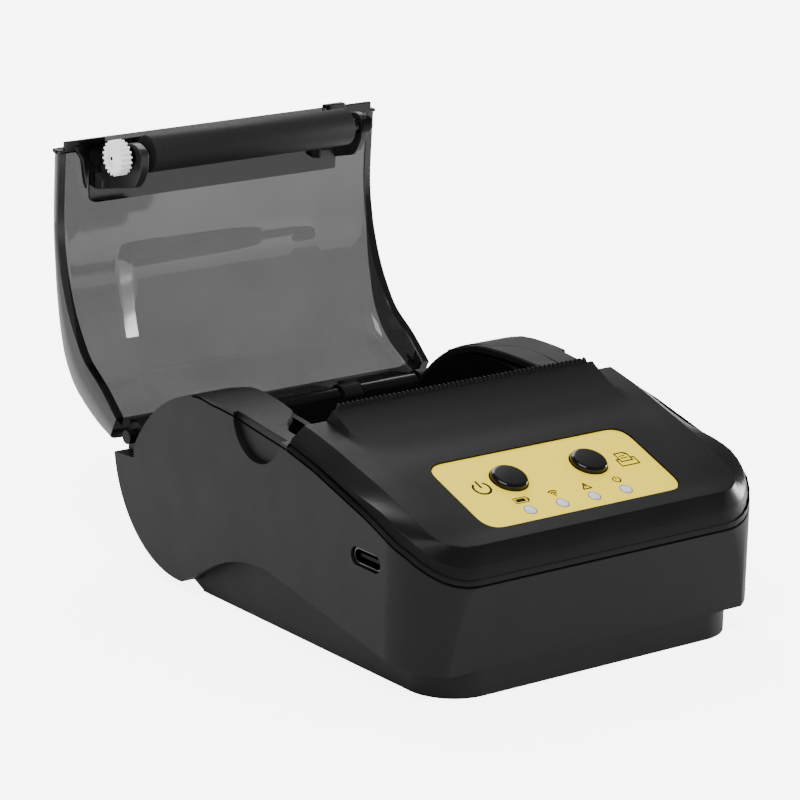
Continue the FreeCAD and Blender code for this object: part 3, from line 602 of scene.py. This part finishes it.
def make_tear_strip():
    """A toothed strip standing behind the top face's rear edge."""
    left = -TOOTH_PITCH * TOOTH_COUNT / 2
    outline = [(left, TEAR_LOW)]
    for i in range(TOOTH_COUNT):
        outline.append((left + TOOTH_PITCH * i, TEAR_ROOT))
        outline += [(left + TOOTH_PITCH * (i + share), TEAR_TIP) for share in TOOTH_FLAT]
    outline += [(-left, TEAR_ROOT), (-left, TEAR_LOW)]
    bm = bmesh.new()
    slab(bm, outline, upright(TEAR_Y), 0.0, TEAR_THICK)
    add_piece("tear_strip", bm, "chassis", [CASE], crease=30, stands_for=("tear_bar",))


# ---- label, buttons, lights ------------------------------------------------------------------

LABEL_HALF = 25.1
LABEL_LONG = 21.9
LABEL_CORNER = 4.3
LABEL_HALF_THICK = 0.19
LABEL_EDGE = 0.08
LABEL_SINK = 0.22
LABEL_HOLE = 4.1
LABEL_GAP = 0.15
RECESS_CORNER = 4.4
RECESS_DEPTH = 0.42
CUTTER_REACH = 6.0
BUTTON_X = (-10.2, 10.2)
BUTTON_UP = 13.4
BUTTON_R = 3.85
BUTTON_HOLE = 4.15
BUTTON_FLAT = 1.14
LED_UP = 3.4
LED_PITCH = 8.15
LED_LENS_R = 1.13


def label_outline(margin, corner, steps):
    """The label's rounded outline, grown by the margin on every side."""
    half = LABEL_HALF + margin
    low, high = -margin, LABEL_LONG + margin
    return round_corners([(-half, low), (half, low), (half, high), (-half, high)], corner, steps)


def circle(x, y, r, steps=40):
    turns = [math.tau * i / steps for i in range(steps)]
    return [(x + r * math.cos(a), y + r * math.sin(a)) for a in turns]


def make_label():
    data = bpy.data.curves.new("label_shape", "CURVE")
    data.dimensions = "2D"
    data.fill_mode = "BOTH"
    data.extrude = LABEL_HALF_THICK * MM
    data.bevel_depth = LABEL_EDGE * MM
    data.bevel_resolution = 2
    data.offset = -LABEL_EDGE * MM
    outlines = [label_outline(0.0, LABEL_CORNER, 10)]
    outlines += [circle(x, BUTTON_UP, LABEL_HOLE) for x in BUTTON_X]
    for outline in outlines:
        line = data.splines.new("POLY")
        line.points.add(len(outline) - 1)
        for point, (x, y) in zip(line.points, outline):
            point.co = (x * MM, y * MM, 0, 1)
        line.use_cyclic_u = True
    shape = link_object("label_shape", data)
    mesh = evaluated_mesh(shape)
    bpy.data.objects.remove(shape)
    place = LABEL_PLACE.copy()
    place.translation *= MM
    mesh.transform(place @ Matrix.Translation((0, 0, -LABEL_SINK * MM)))
    mesh.materials.clear()
    mesh.materials.append(LABEL)
    label = link_object("panel_sheet", mesh)
    smooth(mesh)
    mesh.set_sharp_from_angle(angle=math.radians(40))
    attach(label, "chassis")
    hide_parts("panel_label")


INK_LOW = 0.035
INK_HIGH = 0.075
OUTLINE_INK = 0.34
FOLD_INK = 0.24
TEXT_INK = 0.28
STROKE_END = 0.3  # the part of its width by which a stroke runs past each end
RING_START = 130
RING_END = 410


def stroke(bm, points, width):
    """Printed line along points on the label, with square joints."""
    for (x0, y0), (x1, y1) in zip(points[:-1], points[1:]):
        run = Vector((x1 - x0, y1 - y0))
        along = run.normalized() * width * STROKE_END
        side = Vector((-run.y, run.x)).normalized() * width / 2
        a = Vector((x0, y0)) - along
        b = Vector((x1, y1)) + along
        slab(bm, [a - side, b - side, b + side, a + side], LABEL_PLACE, INK_LOW, INK_HIGH)


def arc(cx, cy, r, start, end, steps=20):
    return [(cx + r * math.cos(math.radians(mix(start, end, i / steps))),
             cy + r * math.sin(math.radians(mix(start, end, i / steps)))) for i in range(steps + 1)]


def power_mark(bm, x, y, r, width):
    """A ring that is open at the top, with a bar in the opening."""
    stroke(bm, arc(x, y, r, RING_START, RING_END), width)
    stroke(bm, [(x, y + r * 0.15), (x, y + r * 1.25)], width)


def paper_mark(bm, x, y):
    """A sheet of paper standing in a small printer."""
    stroke(bm, [(x - 2.2, y - 1.9), (x + 2.3, y - 1.9), (x + 2.3, y + 0.3), (x + 1.5, y + 0.3)],
           OUTLINE_INK)
    stroke(bm, [(x - 1.4, y + 0.3), (x - 2.2, y + 0.3), (x - 2.2, y - 1.9)], OUTLINE_INK)
    stroke(bm, [(x - 1.4, y - 0.5), (x - 1.4, y + 2.2), (x + 0.9, y + 2.2), (x + 1.5, y + 1.6),
                (x + 1.5, y - 0.5), (x - 1.4, y - 0.5)], OUTLINE_INK)
    stroke(bm, [(x + 0.9, y + 2.2), (x + 0.9, y + 1.6), (x + 1.5, y + 1.6)], FOLD_INK)
    stroke(bm, [(x - 0.8, y + 1.2), (x + 0.5, y + 1.2)], TEXT_INK)
    stroke(bm, [(x - 0.8, y + 0.5), (x + 0.8, y + 0.5)], TEXT_INK)


def battery_mark(bm, x, y):
    charge = [(x - 1.25, y - 0.5), (x + 1.0, y - 0.5), (x + 1.0, y + 0.5), (x - 1.25, y + 0.5)]
    slab(bm, charge, LABEL_PLACE, INK_LOW, INK_HIGH)
    stroke(bm, [(x - 1.6, y - 0.8), (x + 1.5, y - 0.8), (x + 1.5, y + 0.8), (x - 1.6, y + 0.8),
                (x - 1.6, y - 0.8)], 0.22)
    stroke(bm, [(x + 1.8, y - 0.35), (x + 1.8, y + 0.35)], 0.3)


def radio_mark(bm, x, y):
    """Three waves over a dot."""
    for r in (0.55, 1.1, 1.65):
        stroke(bm, arc(x, y, r, 50, 130, 10), 0.3)
    dot = 0.2
    turned(bm, [(0, INK_LOW), (dot, INK_LOW), (dot, INK_HIGH), (0, INK_HIGH)],
           LABEL_PLACE @ at(x, y, 0), 16)


def fault_mark(bm, x, y):
    """A triangle with a bar in it."""
    stroke(bm, [(x - 1.0, y - 0.75), (x + 1.0, y - 0.75), (x, y + 1.0), (x - 1.0, y - 0.75)], 0.32)
    stroke(bm, [(x, y - 0.1), (x, y + 0.4)], 0.3)


def make_icons():
    bm = bmesh.new()
    power_mark(bm, -17.7, 12.4, 1.85, 0.5)
    power_mark(bm, 12.4, 6.75, 0.85, 0.3)
    paper_mark(bm, 18.9, 12.1)
    battery_mark(bm, -12.1, 6.7)
    radio_mark(bm, -3.9, 5.9)
    fault_mark(bm, 4.3, 6.7)
    add_piece("panel_icons", bm, "chassis", [INK])


BUTTON_PROFILE = [(0, -1.6), (BUTTON_R, -1.6), (BUTTON_R, 0.45), (3.8, 0.7), (3.66, 0.92), (3.45, 1.08),
                  (3.2, 1.16), (2.9, 1.2), (0, 1.26)]


def make_buttons():
    """Two round caps: a matt top inside a glossy rim."""
    buttons = (("power_cap", "power_key", "power_button"), ("feed_cap", "feed_key", "feed_button"))
    for x, (name, body, node) in zip(BUTTON_X, buttons):
        bm = bmesh.new()
        place = LABEL_PLACE @ at(x, BUTTON_UP, 0)
        turned(bm, BUTTON_PROFILE, place, 64, 1)
        for face in bm.faces:
            if (place.inverted() @ face.calc_center_median()).z > BUTTON_FLAT:
                face.material_index = 0
        add_piece(name, bm, body, [BUTTON, BUTTON_RIM], crease=50, stands_for=(node,))


LED_PROFILE = [(0, 0.0), (1.42, 0.0), (1.42, 0.08), (1.2, 0.1), (1.16, 0.06), (1.1, 0.14), (0.9, 0.2),
               (0.5, 0.24), (0, 0.25)]


def make_lights_on_panel():
    """Four milky lenses, each in a thin grey ring."""
    names = ("light_pipe_battery", "light_pipe_link", "light_pipe_fault", "light_pipe_power")
    for i, node in enumerate(names):
        bm = bmesh.new()
        place = LABEL_PLACE @ at(LED_PITCH * (i - 1.5), LED_UP, 0)
        turned(bm, LED_PROFILE, place, 40)
        for face in bm.faces:
            spot = place.inverted() @ face.calc_center_median()
            if math.hypot(spot.x, spot.y) > LED_LENS_R:
                face.material_index = 1
        add_piece(node.replace("light_pipe", "lens"), bm, "chassis", [LENS, LENS_RING],
                  crease=50, stands_for=(node,))


# ---- paper cover -----------------------------------------------------------------------------

COVER_OUTER = [(72.7, 84.0), (73.2, 68.3), (72.5, 57.5), (71.7, 51.0), (70.5, 44.7), (68.4, 38.5),
               (64.2, 32.8), (56.8, 28.0), (50.4, 25.3)]
COVER_RIM = [(70.3, 84.0), (70.9, 68.4), (69.8, 60.2), (68.4, 55.0), (66.4, 49.8), (63.6, 44.8),
             (60.0, 40.2), (54.0, 36.0), (47.8, 30.6)]
SPANS = len(COVER_OUTER) - 1
ALMOST = 0.9999  # the last section stops just short of the last point
TANGENT_STEP = 0.02
LAST_STEP = 0.001
COVER_HALF = 41.7
COVER_WALL = 2.0
CORNER_POINTS = ((38.6, 0.0), (40.6, 0.12), (41.4, 0.5), (COVER_HALF, 1.2))
FLANGE = 2.0
FLANGE_ROUND = 0.25
FILLET = (0.3, 2.6)
FILLET_STEPS = 5
BULGE_HALF = 26.6
BULGE_SIDE = 5.2
BULGE_DEPTH = 1.9
BULGE_TOP = 60.5
BULGE_TOP_FADE = 4.5
BULGE_LOW = 27.0
BULGE_LOW_FADE = 9.0
HINGE = (44.6, 27.2)
PLATEN = (59.4, 83.6)
STATIONS = 56
WIDE_STEP = 2.9
WIDE_COUNT = 8
FINE_FROM = 21.5
FINE_STEP = 0.5
FINE_COUNT = 12
OUTER_XS = [28.0, 31.0, 34.0, 36.0]


def bulge_at(x, z):
    """How far the cover's wall swells outward there."""
    across = max(0.0, min(1.0, (BULGE_HALF - abs(x)) / BULGE_SIDE))
    upward = ease((BULGE_TOP - z) / BULGE_TOP_FADE)
    downward = ease((z - BULGE_LOW) / BULGE_LOW_FADE)
    return BULGE_DEPTH * across * upward * downward


def cover_xs():
    """Places across the wall: wide steps in the middle, fine ones where the swell's side slopes."""
    middle = [i * WIDE_STEP for i in range(WIDE_COUNT)]
    slope = [FINE_FROM + i * FINE_STEP for i in range(FINE_COUNT)]
    inner = middle + slope + OUTER_XS
    return [-x for x in inner[:0:-1]] + inner


def cover_loop(t):
    """One closed section of the cover: outer wall, side flange, rim, inner wall."""
    spot = spline(COVER_OUTER, t)
    after = spline(COVER_OUTER, min(t + TANGENT_STEP, SPANS - LAST_STEP))
    ahead = after - spline(COVER_OUTER, max(t - TANGENT_STEP, 0.0))
    inward = Vector((ahead.y, -ahead.x)).normalized()
    if inward.x > 0:
        inward = -inward
    rim = spline(COVER_RIM, t)
    depth = (rim - spot).dot(inward)
    slide = (rim - spot) - inward * depth

    def point(x, a):
        share = max(0.0, min(1.0, (a - COVER_WALL) / max(depth - COVER_WALL, 0.01)))
        place = spot + inward * a + slide * share
        return (x, place.x, place.y)

    outer = []
    inner = []
    for x in cover_xs():
        swell = bulge_at(x, spot.y)
        outer.append(point(x, -swell))
        inner.append(point(x, COVER_WALL - swell))
    start = CORNER_POINTS[-1][1]
    right = [point(x, a) for x, a in CORNER_POINTS]
    right += [point(COVER_HALF, mix(start, depth, 0.5)), point(COVER_HALF, depth - FLANGE_ROUND),
              point(COVER_HALF - FLANGE_ROUND, depth), point(COVER_HALF - FLANGE + FLANGE_ROUND, depth),
              point(COVER_HALF - FLANGE, depth - FLANGE_ROUND)]
    fillet = min(FILLET[1], max(FILLET[0], depth - COVER_WALL - FILLET[0]))
    for k in range(FILLET_STEPS + 1):
        a = math.radians(90 * k / FILLET_STEPS)
        right.append(point(COVER_HALF - FLANGE - fillet * (1 - math.cos(a)),
                           COVER_WALL + fillet * (1 - math.sin(a))))
    left = [(-x, y, z) for x, y, z in right[::-1]]
    return outer + right + inner[::-1] + left


SIDE_BAND = 0.2
RIM_BAND = 1.9
SIDE_FACING = 0.8
FRONT_FACING = -0.2
SIDE_DARK_BELOW = 68
FOOT_BELOW = 31.5
FOOT_BEFORE = 53.0


def make_cover():
    """The swelling clear wall; its front rims, its foot and the lower part of its sides are darker."""
    bm = bmesh.new()
    loft(bm, [cover_loop(SPANS * i / STATIONS * ALMOST) for i in range(STATIONS + 1)])
    for face in bm.faces:
        c = face.calc_center_median()
        sideways = abs(face.normal.x)
        side = abs(c.x) > COVER_HALF - SIDE_BAND and sideways > SIDE_FACING and c.z < SIDE_DARK_BELOW
        rim = abs(c.x) > COVER_HALF - RIM_BAND and sideways < SIDE_FACING
        foot = c.z < FOOT_BELOW and c.y < FOOT_BEFORE
        if side or foot or (rim and face.normal.y < FRONT_FACING):
            face.material_index = 1
    add_piece("cover_shell", bm, "cover", [SMOKE, SMOKE_EDGE], crease=28,
              stands_for=("paper_cover",))


LIP_FROM = 30.2
BLADE_HALF = 40.4
TONGUE_HALF = 30.25
COVER_FACE_Y = 70.6
LIP = [(69.7, 83.3), (70.9, 82.9), (72.8, 83.1), (72.7, 84.02), (69.7, 84.02)]
BLADE = [(69.7, 83.6), (70.6, 83.6), (70.6, 85.6), (70.4, 85.7), (69.7, 85.7)]
CLIP = [(27.2, 70.5), (28.4, 69.4), (32.6, 68.8), (32.6, 70.5)]
CLIP_LOW = 83.6
CLIP_HIGH = 86.4
TONGUE = [(69.75, 83.6), (70.55, 83.4), (70.55, 85.6), (70.4, 85.7), (69.9, 85.7), (69.75, 85.6)]
GUSSET = [(-38.4, 84.6), (-34.0, 84.6), (-34.6, 80.5), (-35.0, 75.0), (-35.5, 76.5), (-36.2, 81.5)]
GUSSET_THICK = 1.2
PAD = [(-34.0, 71.6, 2.0), (31.0, 71.6, 0.5), (31.0, 83.0, 0.3), (-34.0, 83.0, 0.3)]
PAD_THICK = 0.5


def make_cover_trim():
    """The thick dark corners of the free edge, the thin tongue between them, the gusset and the pad."""
    bm = bmesh.new()
    for start, end in ((-COVER_HALF, -LIP_FROM), (LIP_FROM, COVER_HALF)):
        slab(bm, LIP, YZ, start, end)
        slab(bm, BLADE, YZ, max(start, -BLADE_HALF), min(end, BLADE_HALF))
    slab(bm, CLIP, Matrix.Identity(4), CLIP_LOW, CLIP_HIGH)
    add_piece("cover_lips", bm, "cover", [SMOKE_EDGE], crease=30, width=0.3)
    bm = bmesh.new()
    slab(bm, GUSSET, upright(COVER_FACE_Y), 0.0, GUSSET_THICK)
    add_piece("cover_gusset", bm, "cover", [SMOKE_EDGE], crease=30, width=0.2)
    bm = bmesh.new()
    slab(bm, round_corners(PAD, 0.5), upright(COVER_FACE_Y), 0.0, PAD_THICK)
    add_piece("cover_pad", bm, "cover", [SMOKE], crease=30)
    bm = bmesh.new()
    slab(bm, TONGUE, YZ, -TONGUE_HALF, TONGUE_HALF)
    add_piece("cover_tongue", bm, "cover", [SMOKE], crease=30)


BARREL_R = 2.3
BARREL_END_R = 2.0
BARREL_ROUND = 0.25
BARREL_SPANS = ((-35.0, 13.5), (19.5, 35.0))
WEB = ((0.4, -2.3), (7.5, -1.3), (8.2, 0.9), (0.8, 2.1))


def make_hinge_barrel():
    """The cover's barrel round the hinge pin, in two lengths with a web back to the shell."""
    bm = bmesh.new()
    y, z = HINGE
    for start, end in BARREL_SPANS:
        long = end - start
        turned(bm, [(0, 0), (BARREL_END_R, 0), (BARREL_R, BARREL_ROUND), (BARREL_R, long - BARREL_ROUND),
                    (BARREL_END_R, long), (0, long)], at(start, y, z) @ ALONG_X, 40)
        slab(bm, [(y + back, z + up) for back, up in WEB], YZ, start, end)
    add_piece("cover_barrel", bm, "cover", [INNER_GLOSS], crease=40)


# ---- platen ----------------------------------------------------------------------------------

GEAR_TIP = 3.8
GEAR_ROOT = 3.2
GEAR_SHOULDER = GEAR_TIP - 0.06
GEAR_TEETH = 20
GEAR_SPAN = (-35.2, -32.7)
TOOTH = ((0.0, GEAR_ROOT), (0.2, GEAR_ROOT), (0.34, GEAR_SHOULDER), (0.42, GEAR_TIP), (0.58, GEAR_TIP),
         (0.66, GEAR_SHOULDER), (0.8, GEAR_ROOT))
BOSS_PROUD = 0.25
BOSS = [(0, 0), (1.5, 0), (1.7, 0.15), (1.7, 0.4), (0, 0.4)]
BOSS_HOLE = [(0, -0.02), (0.42, -0.02), (0.42, 0.2), (0, 0.2)]


def make_platen_gear():
    bm = bmesh.new()
    outline = []
    for i in range(GEAR_TEETH):
        for share, r in TOOTH:
            a = math.tau * (i + share) / GEAR_TEETH
            outline.append((r * math.cos(a), r * math.sin(a)))
    slab(bm, outline, at(0, *PLATEN) @ YZ, *GEAR_SPAN)
    boss = at(GEAR_SPAN[0] - BOSS_PROUD, *PLATEN) @ ALONG_X
    turned(bm, BOSS, boss, 32)
    # the boss's hole is a near-black disc: painted shade inside the hole
    turned(bm, BOSS_HOLE, boss, 20, 1)
    add_piece("platen_gear_fine", bm, "platen", [GEAR, SEAM_SHADOW], crease=40,
              stands_for=("platen_gear",))


ROLLER_X = -26.8
ROLLER_LONG = 52.4
ROLLER_END = [(0, 0), (3.5, 0), (3.9, 0.12), (4.05, 0.4)]
SHAFT_X = -32.6
SHAFT = [(0, 0), (1.35, 0), (1.5, 0.15), (1.5, 6.3), (0, 6.3)]
COLLAR_X = 25.6
COLLAR = [(0, 0), (1.5, 0), (1.5, 4.2), (1.9, 4.2), (2.0, 4.35), (2.0, 6.0), (1.85, 6.2), (0, 6.2)]


def make_roller():
    """The rubber sleeve, and the shaft's end and collar that stand out of it."""
    bm = bmesh.new()
    profile = ROLLER_END + [(r, ROLLER_LONG - h) for r, h in ROLLER_END[::-1]]
    turned(bm, profile, at(ROLLER_X, *PLATEN) @ ALONG_X, 72)
    add_piece("roller_sleeve", bm, "platen", [RUBBER], crease=45,
              stands_for=("platen_roller",))
    bm = bmesh.new()
    turned(bm, SHAFT, at(SHAFT_X, *PLATEN) @ ALONG_X, 32)
    turned(bm, COLLAR, at(COLLAR_X, *PLATEN) @ ALONG_X, 32)
    add_piece("roller_axle", bm, "platen", [INNER_GLOSS], crease=40,
              stands_for=("platen_shaft", "shaft_collar"))


EAR_LEFT = [(70.4, 74.4, 0.3), (67.6, 74.9, 1.5), (57.4, 77.0, 4.0), (55.0, 81.0, 6.0), (54.9, 85.2, 2.0),
            (58.5, 86.6, 4.0), (62.6, 85.2, 5.0), (66.0, 84.0, 4.0), (70.4, 83.6, 0.3)]
EAR_RIGHT = [(70.4, 74.4, 0.3), (67.6, 74.9, 1.5), (60.0, 76.8, 4.0), (57.6, 81.0, 6.0), (57.4, 85.6, 2.2),
             (60.5, 86.5, 3.0), (63.4, 85.0, 4.0), (66.5, 84.0, 4.0), (70.4, 83.6, 0.3)]
EAR_LEFT_SPAN = (-30.9, -28.9)
EAR_RIGHT_SPAN = (28.7, 30.3)
FOOT = [(70.5, 74.5), (67.4, 75.0), (67.2, 77.0), (70.5, 78.2)]
FOOT_SPANS = ((-32.6, -28.0), (24.6, 31.0))


def make_holder():
    """The ears that carry the roller's ends, and the feet that join them to the cover."""
    bm = bmesh.new()
    slab(bm, round_corners(EAR_LEFT, 1.5, 8), YZ, *EAR_LEFT_SPAN)
    slab(bm, round_corners(EAR_RIGHT, 1.5, 8), YZ, *EAR_RIGHT_SPAN)
    add_piece("holder_ears", bm, "cover", [BRACKET], crease=40,
              stands_for=("platen_holder",), width=0.25)
    bm = bmesh.new()
    for span in FOOT_SPANS:
        slab(bm, FOOT, YZ, *span)
    add_piece("holder_feet", bm, "cover", [BRACKET], crease=35, width=0.3)


# ---- lower case ------------------------------------------------------------------------------

SAME_PLACE = 0.00001
SAME_PLANE = math.radians(1.0)


def make_lower_case():
    """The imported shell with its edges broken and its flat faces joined."""
    bm = bmesh.new()
    bm.from_mesh(NODES["lower_case"].data)
    bmesh.ops.remove_doubles(bm, verts=bm.verts, dist=SAME_PLACE)
    bmesh.ops.dissolve_limit(bm, angle_limit=SAME_PLANE, verts=bm.verts, edges=bm.edges)
    bmesh.ops.scale(bm, vec=(1 / MM,) * 3, verts=bm.verts)
    add_piece("lower_shell", bm, "chassis", [CASE], crease=30,
              stands_for=("lower_case",), width=0.3)


HUMP_TOP = [(30.0, 37.9), (26.0, 40.2), (20.0, 42.4), (16.0, 43.4), (12.9, 43.7), (8.0, 43.75),
            (3.0, 43.5), (-6.7, 42.4), (-16.3, 41.4)]
CHEEK_EDGE = [(26.0, 29.35), (14.0, 29.5), (6.0, 30.4), (1.5, 31.0), (-1.1, 31.3), (-3.5, 33.2),
              (-5.6, 35.7), (-9.5, 38.4), (-14.0, 40.0), (-16.0, 40.6)]
SEAM_STEPS = 24
SEAM_START = 18.0
SEAM_END = -16.2
SEAM_DROP = 0.9
SEAM_DROP_RUN = 8.0
SEAM_SIDES = 10
SEAM_SUNK = 0.02
SEAM_PROUD = 0.12
SEAM_TALL = 0.22
SHELF_STEPS = 40
SHELF_START = 26.0
SHELF_END = -14.6
SHELF_HALF = 41.2
SHELF_DEEP = 1.5
SHELF_BELOW = 0.03
SHELF_EDGE = 0.3
HEEL = [(17.5, 0.05), (19.4, 0.05), (24.4, 2.2), (24.0, 3.2), (17.5, 3.2)]
HEEL_HALF = 38.85


def seam_ring(side, y):
    """A small upright oval round the parting line where it passes y."""
    x = side * (half_width(y) - SEAM_SUNK)
    z = between(HUMP_TOP, y) - SEAM_DROP * ease((SEAM_START - y) / SEAM_DROP_RUN)
    turns = [math.tau * k / SEAM_SIDES for k in range(SEAM_SIDES)]
    return [(x + SEAM_PROUD * math.cos(a), y, z + SEAM_TALL * math.sin(a)) for a in turns]


def shelf_ring(side, y):
    """The flat top of a cheek where it passes y, with its inner edge broken."""
    z = between(HUMP_TOP, y) - SHELF_BELOW
    inner = side * between(CHEEK_EDGE, y)
    outer = side * SHELF_HALF
    return [(inner, y, z - SHELF_DEEP), (outer, y, z - SHELF_DEEP), (outer, y, z),
            (inner + side * SHELF_EDGE, y, z), (inner, y, z - SHELF_EDGE)]


def make_case_trim():
    """A near-black tube along each hump's parting line as its painted shadow, the flat top of each cheek
    and the plinth's sloped heel.
    """
    for side, name in ((-1, "left"), (1, "right")):
        bm = bmesh.new()
        ys = [mix(SEAM_START, SEAM_END, i / SEAM_STEPS) for i in range(SEAM_STEPS + 1)]
        # a near-black tube along the parting line: painted shadow of its gap
        loft(bm, [seam_ring(side, y) for y in ys])
        add_piece("hump_seam_shadow_" + name, bm, "chassis", [SEAM_SHADOW], crease=60)
        bm = bmesh.new()
        ys = [mix(SHELF_START, SHELF_END, i / SHELF_STEPS) for i in range(SHELF_STEPS + 1)]
        loft(bm, [shelf_ring(side, y) for y in ys])
        add_piece("hump_shelf_" + name, bm, "chassis", [CASE], crease=35)
    bm = bmesh.new()
    slab(bm, HEEL, YZ, -HEEL_HALF, HEEL_HALF)
    add_piece("plinth_heel", bm, "chassis", [CASE], crease=35, width=0.4)


# ---- camera, floor and lights ----------------------------------------------------------------

CAMERA_AZIMUTH = math.radians(-37.705)
CAMERA_ELEVATION = math.radians(16.277)
CAMERA_ROLL = math.radians(1.406)
CAMERA_PLACE = Vector((-468.03, -601.14, 262.22)) * MM
CAMERA_LENS = 172.83
SENSOR = 36.0
NEAREST = 0.01


def make_camera():
    az, el, roll = CAMERA_AZIMUTH, CAMERA_ELEVATION, CAMERA_ROLL
    back = Vector((math.sin(az) * math.cos(el), -math.cos(az) * math.cos(el), math.sin(el)))
    level = Vector((math.cos(az), math.sin(az), 0.0))
    rise = back.cross(level)
    right = level * math.cos(roll) + rise * math.sin(roll)
    up = rise * math.cos(roll) - level * math.sin(roll)
    data = bpy.data.cameras.new("camera")
    data.lens = CAMERA_LENS
    data.sensor_width = SENSOR
    data.clip_start = NEAREST
    camera = link_object("camera", data)
    turn = Matrix((right, up, back)).transposed().to_4x4()
    camera.matrix_world = Matrix.Translation(CAMERA_PLACE) @ turn
    bpy.context.scene.camera = camera


FLOOR_HALF = 3.0
FLOOR_WHITE = 0.95
FLOOR_ROUGH = 0.9
FLOOR_GLOW = 0.4
FLOOR_SEEN_GLOW = 5.0


def make_stage():
    """A white floor with a glow that only the camera sees, so what mirrors the floor stays darker."""
    mesh = bpy.data.meshes.new("floor")
    signs = ((-1, -1), (1, -1), (1, 1), (-1, 1))
    corners = [(FLOOR_HALF * x, FLOOR_HALF * y, 0) for x, y in signs]
    mesh.from_pydata(corners, [], [(0, 1, 2, 3)])
    floor = link_object("floor", mesh)
    material, tree, shader = new_material("floor_white")
    shader.inputs["Base Color"].default_value = grey(FLOOR_WHITE)
    shader.inputs["Roughness"].default_value = FLOOR_ROUGH
    shader.inputs["Emission Color"].default_value = grey(1)
    shader.inputs["Emission Strength"].default_value = FLOOR_GLOW
    glow = tree.nodes.new("ShaderNodeEmission")
    glow.inputs["Strength"].default_value = FLOOR_SEEN_GLOW
    both = tree.nodes.new("ShaderNodeAddShader")
    tree.links.new(shader.outputs["BSDF"], both.inputs[0])
    tree.links.new(glow.outputs["Emission"], both.inputs[1])
    ray = tree.nodes.new("ShaderNodeLightPath")
    seen = blend(tree, ray.outputs["Is Camera Ray"], shader.outputs["BSDF"], both.outputs["Shader"])
    tree.links.new(seen, tree.nodes["Material Output"].inputs["Surface"])
    mesh.materials.append(material)


ROOM = 0.9
ROOM_IN_REFLECTIONS = 0.26
LIGHTS = (("key", (-0.35, -0.25, 0.75), (0, 0, 0.02), 0.5, 0.5, 6.0),
          ("rear", (0.25, 0.6, 0.6), (0, 0, 0.03), 0.6, 0.4, 5.0),
          ("side", (0.56, -0.055, 0.06), (-0.02, 0.07, 0.045), 0.12, 0.11, 1.6))


def area_light(name, place, aim, width, height, power):
    data = bpy.data.lights.new(name, "AREA")
    data.shape = "RECTANGLE"
    data.size = width
    data.size_y = height
    data.energy = power
    light = link_object(name, data)
    light.location = place
    light.rotation_euler = (Vector(aim) - Vector(place)).to_track_quat("-Z", "Y").to_euler()


def make_lights():
    """A white room, darker in reflections, and three soft lamps."""
    world = bpy.data.worlds.new("studio")
    world.use_nodes = True
    tree = world.node_tree
    room = tree.nodes["Background"]
    room.inputs["Color"].default_value = grey(1)
    room.inputs["Strength"].default_value = ROOM
    dim = tree.nodes.new("ShaderNodeBackground")
    dim.inputs["Color"].default_value = grey(1)
    dim.inputs["Strength"].default_value = ROOM_IN_REFLECTIONS
    ray = tree.nodes.new("ShaderNodeLightPath")
    picked = blend(tree, ray.outputs["Is Glossy Ray"], room.outputs["Background"],
                   dim.outputs["Background"])
    tree.links.new(picked, tree.nodes["World Output"].inputs["Surface"])
    bpy.context.scene.world = world
    for light in LIGHTS:
        area_light(*light)


paint_cad_nodes()
make_upper_shell()
make_tear_strip()
make_label()
make_icons()
make_buttons()
make_lights_on_panel()
make_cover()
make_cover_trim()
make_hinge_barrel()
make_platen_gear()
make_roller()
make_holder()
make_lower_case()
make_case_trim()
make_camera()
make_stage()
make_lights()
